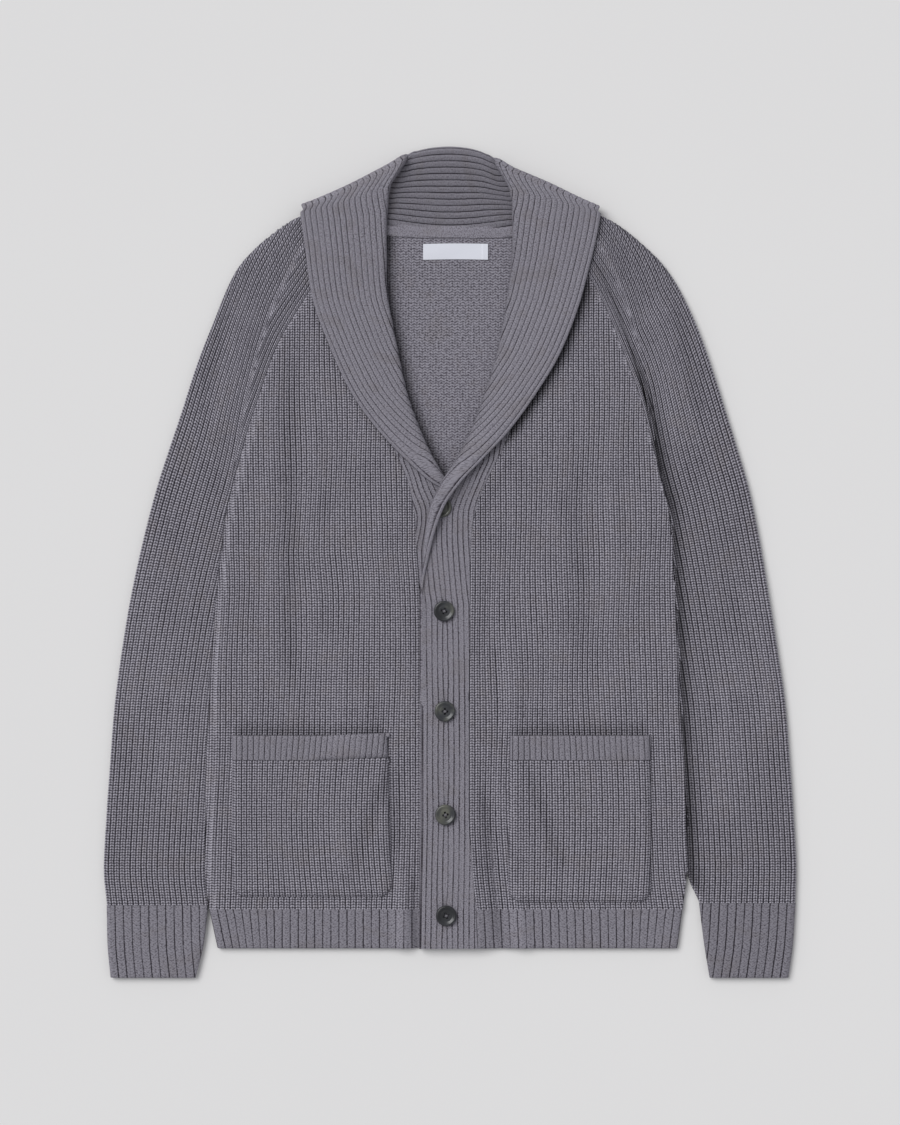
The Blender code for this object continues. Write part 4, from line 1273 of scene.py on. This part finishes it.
# Polished polyester resin, marbled in the cast: hard gloss over cloudy dark greys.
button = {
    "radius": 9.8,
    "thick": 3.0,
    "holeRadius": 1.15,
    "holeSpacing": 2.1,
    "sides": 48,
    "tilt": 4.0,
    "hidden": 4.0,
    "thread": 0.26,
    "lane": 0.24,  # two threads side by side make each stitch
    "stitchLong": 6.2,
    "stitchHigh": 1.3,
    "dish": 0.62,  # the height of the face inside its rim, as a part of the thickness
    "profile": [
        (0.0, 0.62), (0.36, 0.62), (0.46, 0.66), (0.52, 0.66), (0.55, 0.63), (0.58, 0.67), (0.70, 0.78),
        (0.76, 0.93), (0.84, 1.0), (0.91, 0.97), (0.97, 0.80), (1.0, 0.55), (0.97, 0.28), (0.86, 0.08),
        (0.7, 0.0), (0.0, 0.0),
    ],
}


def resinMaterial():
    material, tree, shader = newMaterial("marbled polyester resin")
    where = addNode(tree, "TexCoord", None, None, 3)
    swirl = addNode(
        tree, "TexNoise", None,
        {"Vector": where, "Scale": 30.0, "Detail": 3.0, "Roughness": 0.5, "Distortion": 0.8},
    )
    shade = addNode(tree, "ValToRGB", None, {0: swirl})
    stops = shade.node.color_ramp.elements
    stops[0].position, stops[0].color = 0.36, hexToLinear("191A1D")
    stops[1].position, stops[1].color = 0.66, hexToLinear("5F6056")
    stops.new(0.5).color = hexToLinear("303236")
    tree.links.new(shade, shader.inputs["Base Color"])
    shader.inputs["Roughness"].default_value = 0.3
    shader.inputs["IOR"].default_value = 1.54
    shader.inputs["Coat Weight"].default_value = 0.15
    shader.inputs["Coat Roughness"].default_value = 0.15
    return material


resin = resinMaterial()


def threadMaterial():
    material, tree, shader = newMaterial("grey cotton sewing thread")
    where = addNode(tree, "TexCoord", None, None, 3)
    twist = addNode(
        tree, "TexNoise", None, {"Vector": where, "Scale": 1800.0, "Detail": 2.0}
    )
    colour = addNode(
        tree, "Mix", {"data_type": "RGBA"},
        {0: twist, 6: hexToLinear("5C5A60"), 7: hexToLinear("939197")}, 2,
    )
    tree.links.new(colour, shader.inputs["Base Color"])
    shader.inputs["Roughness"].default_value = 0.7
    return material


thread = threadMaterial()


def newPiece(name, shape, material):
    mesh = bpy.data.meshes.new(name)
    bmesh.ops.recalc_face_normals(shape, faces=shape.faces)
    shape.to_mesh(mesh)
    shape.free()
    mesh.materials.append(material)
    piece = bpy.data.objects.new(name, mesh)
    bpy.context.scene.collection.objects.link(piece)
    return piece


def makeButton(number, x, y):
    # a turned face with a round rim, a fine ring and a dish, then four drilled holes
    r, thick = button["radius"], button["thick"]
    shape = bmesh.new()
    points = [shape.verts.new((a * r * mm, 0, b * thick * mm)) for a, b in button["profile"]]
    edges = [shape.edges.new(pair) for pair in zip(points, points[1:])]
    bmesh.ops.spin(
        shape, geom=[*points, *edges], axis=(0, 0, 1), cent=(0, 0, 0), angle=math.tau,
        steps=button["sides"], use_merge=True, use_duplicate=False,
    )
    bmesh.ops.remove_doubles(shape, verts=shape.verts, dist=0.00001)
    piece = newPiece(f"resinButton{number}", shape, resin)
    cutters = bmesh.new()
    for quarter in range(4):
        angle = math.tau * (quarter + 0.5) / 4
        drill = bmesh.ops.create_cone(
            cutters, cap_ends=True, segments=20, radius1=button["holeRadius"] * mm,
            radius2=button["holeRadius"] * mm, depth=thick * 3 * mm,
        )
        far = button["holeSpacing"] * mm
        bmesh.ops.translate(
            cutters, verts=drill["verts"], vec=(far * math.cos(angle), far * math.sin(angle), 0)
        )
    cutter = newPiece("drills", cutters, resin)
    cut = piece.modifiers.new("Holes", "BOOLEAN")
    cut.operation = "DIFFERENCE"
    cut.object = cutter
    applied = bpy.data.meshes.new_from_object(piece.evaluated_get(bpy.context.evaluated_depsgraph_get()))
    piece.modifiers.clear()
    piece.data = applied
    bpy.data.objects.remove(cutter)
    base = cloth["wall"] + 2 * cloth["layer"] + 0.1
    tilt = 0.0
    if number == 1:  # pushed back under the lapel
        x -= button["hidden"]
        tilt = math.radians(button["tilt"])
    shaped = bmesh.new()
    shaped.from_mesh(applied)
    stitches = bmesh.new()
    for quarter in (1, 3):  # two crossed stitches, from hole to hole
        stitchUp = thick * (button["dish"] + 0.05 * quarter)
        for lane in (-button["lane"], button["lane"]):
            run = bmesh.ops.create_uvsphere(
                stitches, u_segments=10, v_segments=8, radius=button["thread"] * mm
            )
            for vert in run["verts"]:
                vert.co.x *= button["stitchLong"]
                vert.co.y += lane * mm
                vert.co.z = vert.co.z * button["stitchHigh"] + stitchUp * mm
            turned = Matrix.Rotation(math.tau * quarter / 8, 3, "Z")
            bmesh.ops.rotate(stitches, verts=run["verts"], cent=(0, 0, 0), matrix=turned)
    spin = Matrix.Rotation(tilt, 3, "X") @ Matrix.Rotation(0.25 * number, 3, "Z")
    for part in (shaped, stitches):
        bmesh.ops.rotate(part, verts=part.verts, cent=(0, 0, 0), matrix=spin)
        bmesh.ops.translate(part, verts=part.verts, vec=(x * mm, y * mm, base * mm))
    shaped.to_mesh(applied)
    shaped.free()
    applied.shade_smooth()
    applied.set_sharp_from_angle(angle=math.radians(40))
    threads = newPiece(f"buttonThread{number}", stitches, thread)
    threads.data.shade_smooth()
    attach(piece, "root")
    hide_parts(f"button_{number}")
    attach(threads, "root")


for number, (x, y) in enumerate(zip(*buttons.values()), 1):
    makeButton(number, x, y)
print("buttons turned, drilled and sewn on")

label = {
    "left": -25.0,
    "right": 36.5,
    "fold": 31.8,
    "low": 287.0,
    "high": 302.0,
    "thick": 0.35,
    "warp": 0.5 * mm,  # from thread to thread, drawn coarse enough to show
    "weft": 0.35 * mm,
}


def labelMaterial():
    # woven satin ribbon, blank: fine bright ribs of warp with a soft gloss
    material, tree, shader = newMaterial("woven satin ribbon")
    where = addNode(tree, "TexCoord", None, None, 3)
    split = addNode(tree, "SeparateXYZ", None, {0: where})
    warpPlace = addNode(tree, "Math", {"operation": "MULTIPLY"}, {0: split, 1: math.tau / label["warp"]})
    warp = addNode(tree, "Math", {"operation": "SINE"}, {0: warpPlace})
    weftPlace = addNode(
        tree, "Math", {"operation": "MULTIPLY"}, {0: split.node.outputs[1], 1: math.tau / label["weft"]}
    )
    weft = addNode(tree, "Math", {"operation": "SINE"}, {0: weftPlace})
    crossing = addNode(tree, "Math", {"operation": "MULTIPLY"}, {0: warp, 1: weft})
    weave = addNode(tree, "Math", {"operation": "MULTIPLY_ADD"}, {0: crossing, 1: 0.5, 2: 0.5})
    colour = addNode(
        tree, "Mix", {"data_type": "RGBA"},
        {0: weave, 6: hexToLinear("DADCE6"), 7: hexToLinear("E8EAF2")}, 2,
    )
    tree.links.new(colour, shader.inputs["Base Color"])
    shader.inputs["Roughness"].default_value = 0.55
    shader.inputs["Sheen Weight"].default_value = 0.1
    bump = addNode(tree, "Bump", None, {"Strength": 0.2, "Distance": 0.1 * mm, "Height": weave})
    tree.links.new(bump, shader.inputs["Normal"])
    return material


def makeLabel():
    shape = bmesh.new()
    bmesh.ops.create_grid(shape, x_segments=40, y_segments=10, size=0.5)
    for vert in shape.verts:
        s, t = vert.co.x + 0.5, vert.co.y + 0.5
        x = label["left"] + (label["right"] - label["left"]) * s
        y = label["low"] + (label["high"] - label["low"]) * t
        z = float(level(0, np.array(x), np.array(y))) + cloth["wall"] / 2 + 0.55
        z += 0.25 * math.sin(s * 7) * math.sin(t * 3.1) + (0.45 if x > label["fold"] else 0)
        y += 0.5 * math.sin(s * 3.0)
        vert.co = (x * mm, y * mm, z * mm)
    piece = newPiece("neckLabel", shape, labelMaterial())
    wall = piece.modifiers.new("Thickness", "SOLIDIFY")
    wall.thickness = label["thick"] * mm
    wall.offset = 0.0
    return piece


finish(makeLabel(), "label", "neck_label", flat=(0.0615, 0.015), restsOn=["back"])
print("label sewn in")


def plainFloor():
    material, tree, shader = newMaterial("matt painted board")
    where = addNode(tree, "TexCoord", None, None, 3)
    grain = addNode(tree, "TexNoise", None, {"Vector": where, "Scale": 3.0, "Detail": 3.0})
    colour = addNode(
        tree, "Mix", {"data_type": "RGBA"},
        {0: grain, 6: hexToLinear("EBEAE9"), 7: hexToLinear("EDECEB")}, 2,
    )
    tree.links.new(colour, shader.inputs["Base Color"])
    shader.inputs["Roughness"].default_value = 0.95
    shader.inputs["Specular IOR Level"].default_value = 0.1
    shape = bmesh.new()
    bmesh.ops.create_grid(shape, x_segments=2, y_segments=2, size=40.0)
    floor = newPiece("floor", shape, material)
    for vert in floor.data.vertices:
        vert.co.z = -0.0006


plainFloor()

studio = {"middleX": 0.5, "middleY": 0.0, "height": 2970.0, "lens": 100.0}


def addSun(name, aim, strength, softness):
    data = bpy.data.lights.new(name, "SUN")
    data.energy = strength
    data.angle = math.radians(softness)
    lamp = bpy.data.objects.new(name, data)
    lamp.location = (-aim[0] * 2, -aim[1] * 2, -aim[2] * 2)
    lamp.rotation_euler = Vector(aim).to_track_quat("-Z", "Y").to_euler()
    bpy.context.scene.collection.objects.link(lamp)


addSun("softKey", (0.62, -0.55, -1.0), 1.75, 40)
world = bpy.data.worlds.new("studio")
world.use_nodes = True
world.node_tree.nodes["Background"].inputs["Color"].default_value = hexToLinear("EDEEF2")
world.node_tree.nodes["Background"].inputs["Strength"].default_value = 0.5
bpy.context.scene.world = world
bpy.context.scene.view_settings.view_transform = "Standard"

cameraData = bpy.data.cameras.new("overhead")
cameraData.lens = studio["lens"]
cameraData.sensor_width = 36.0
cameraData.clip_end = 20.0
camera = bpy.data.objects.new("overhead", cameraData)
camera.location = (studio["middleX"] * mm, studio["middleY"] * mm, studio["height"] * mm)
bpy.context.scene.collection.objects.link(camera)
bpy.context.scene.camera = camera
print("studio ready")
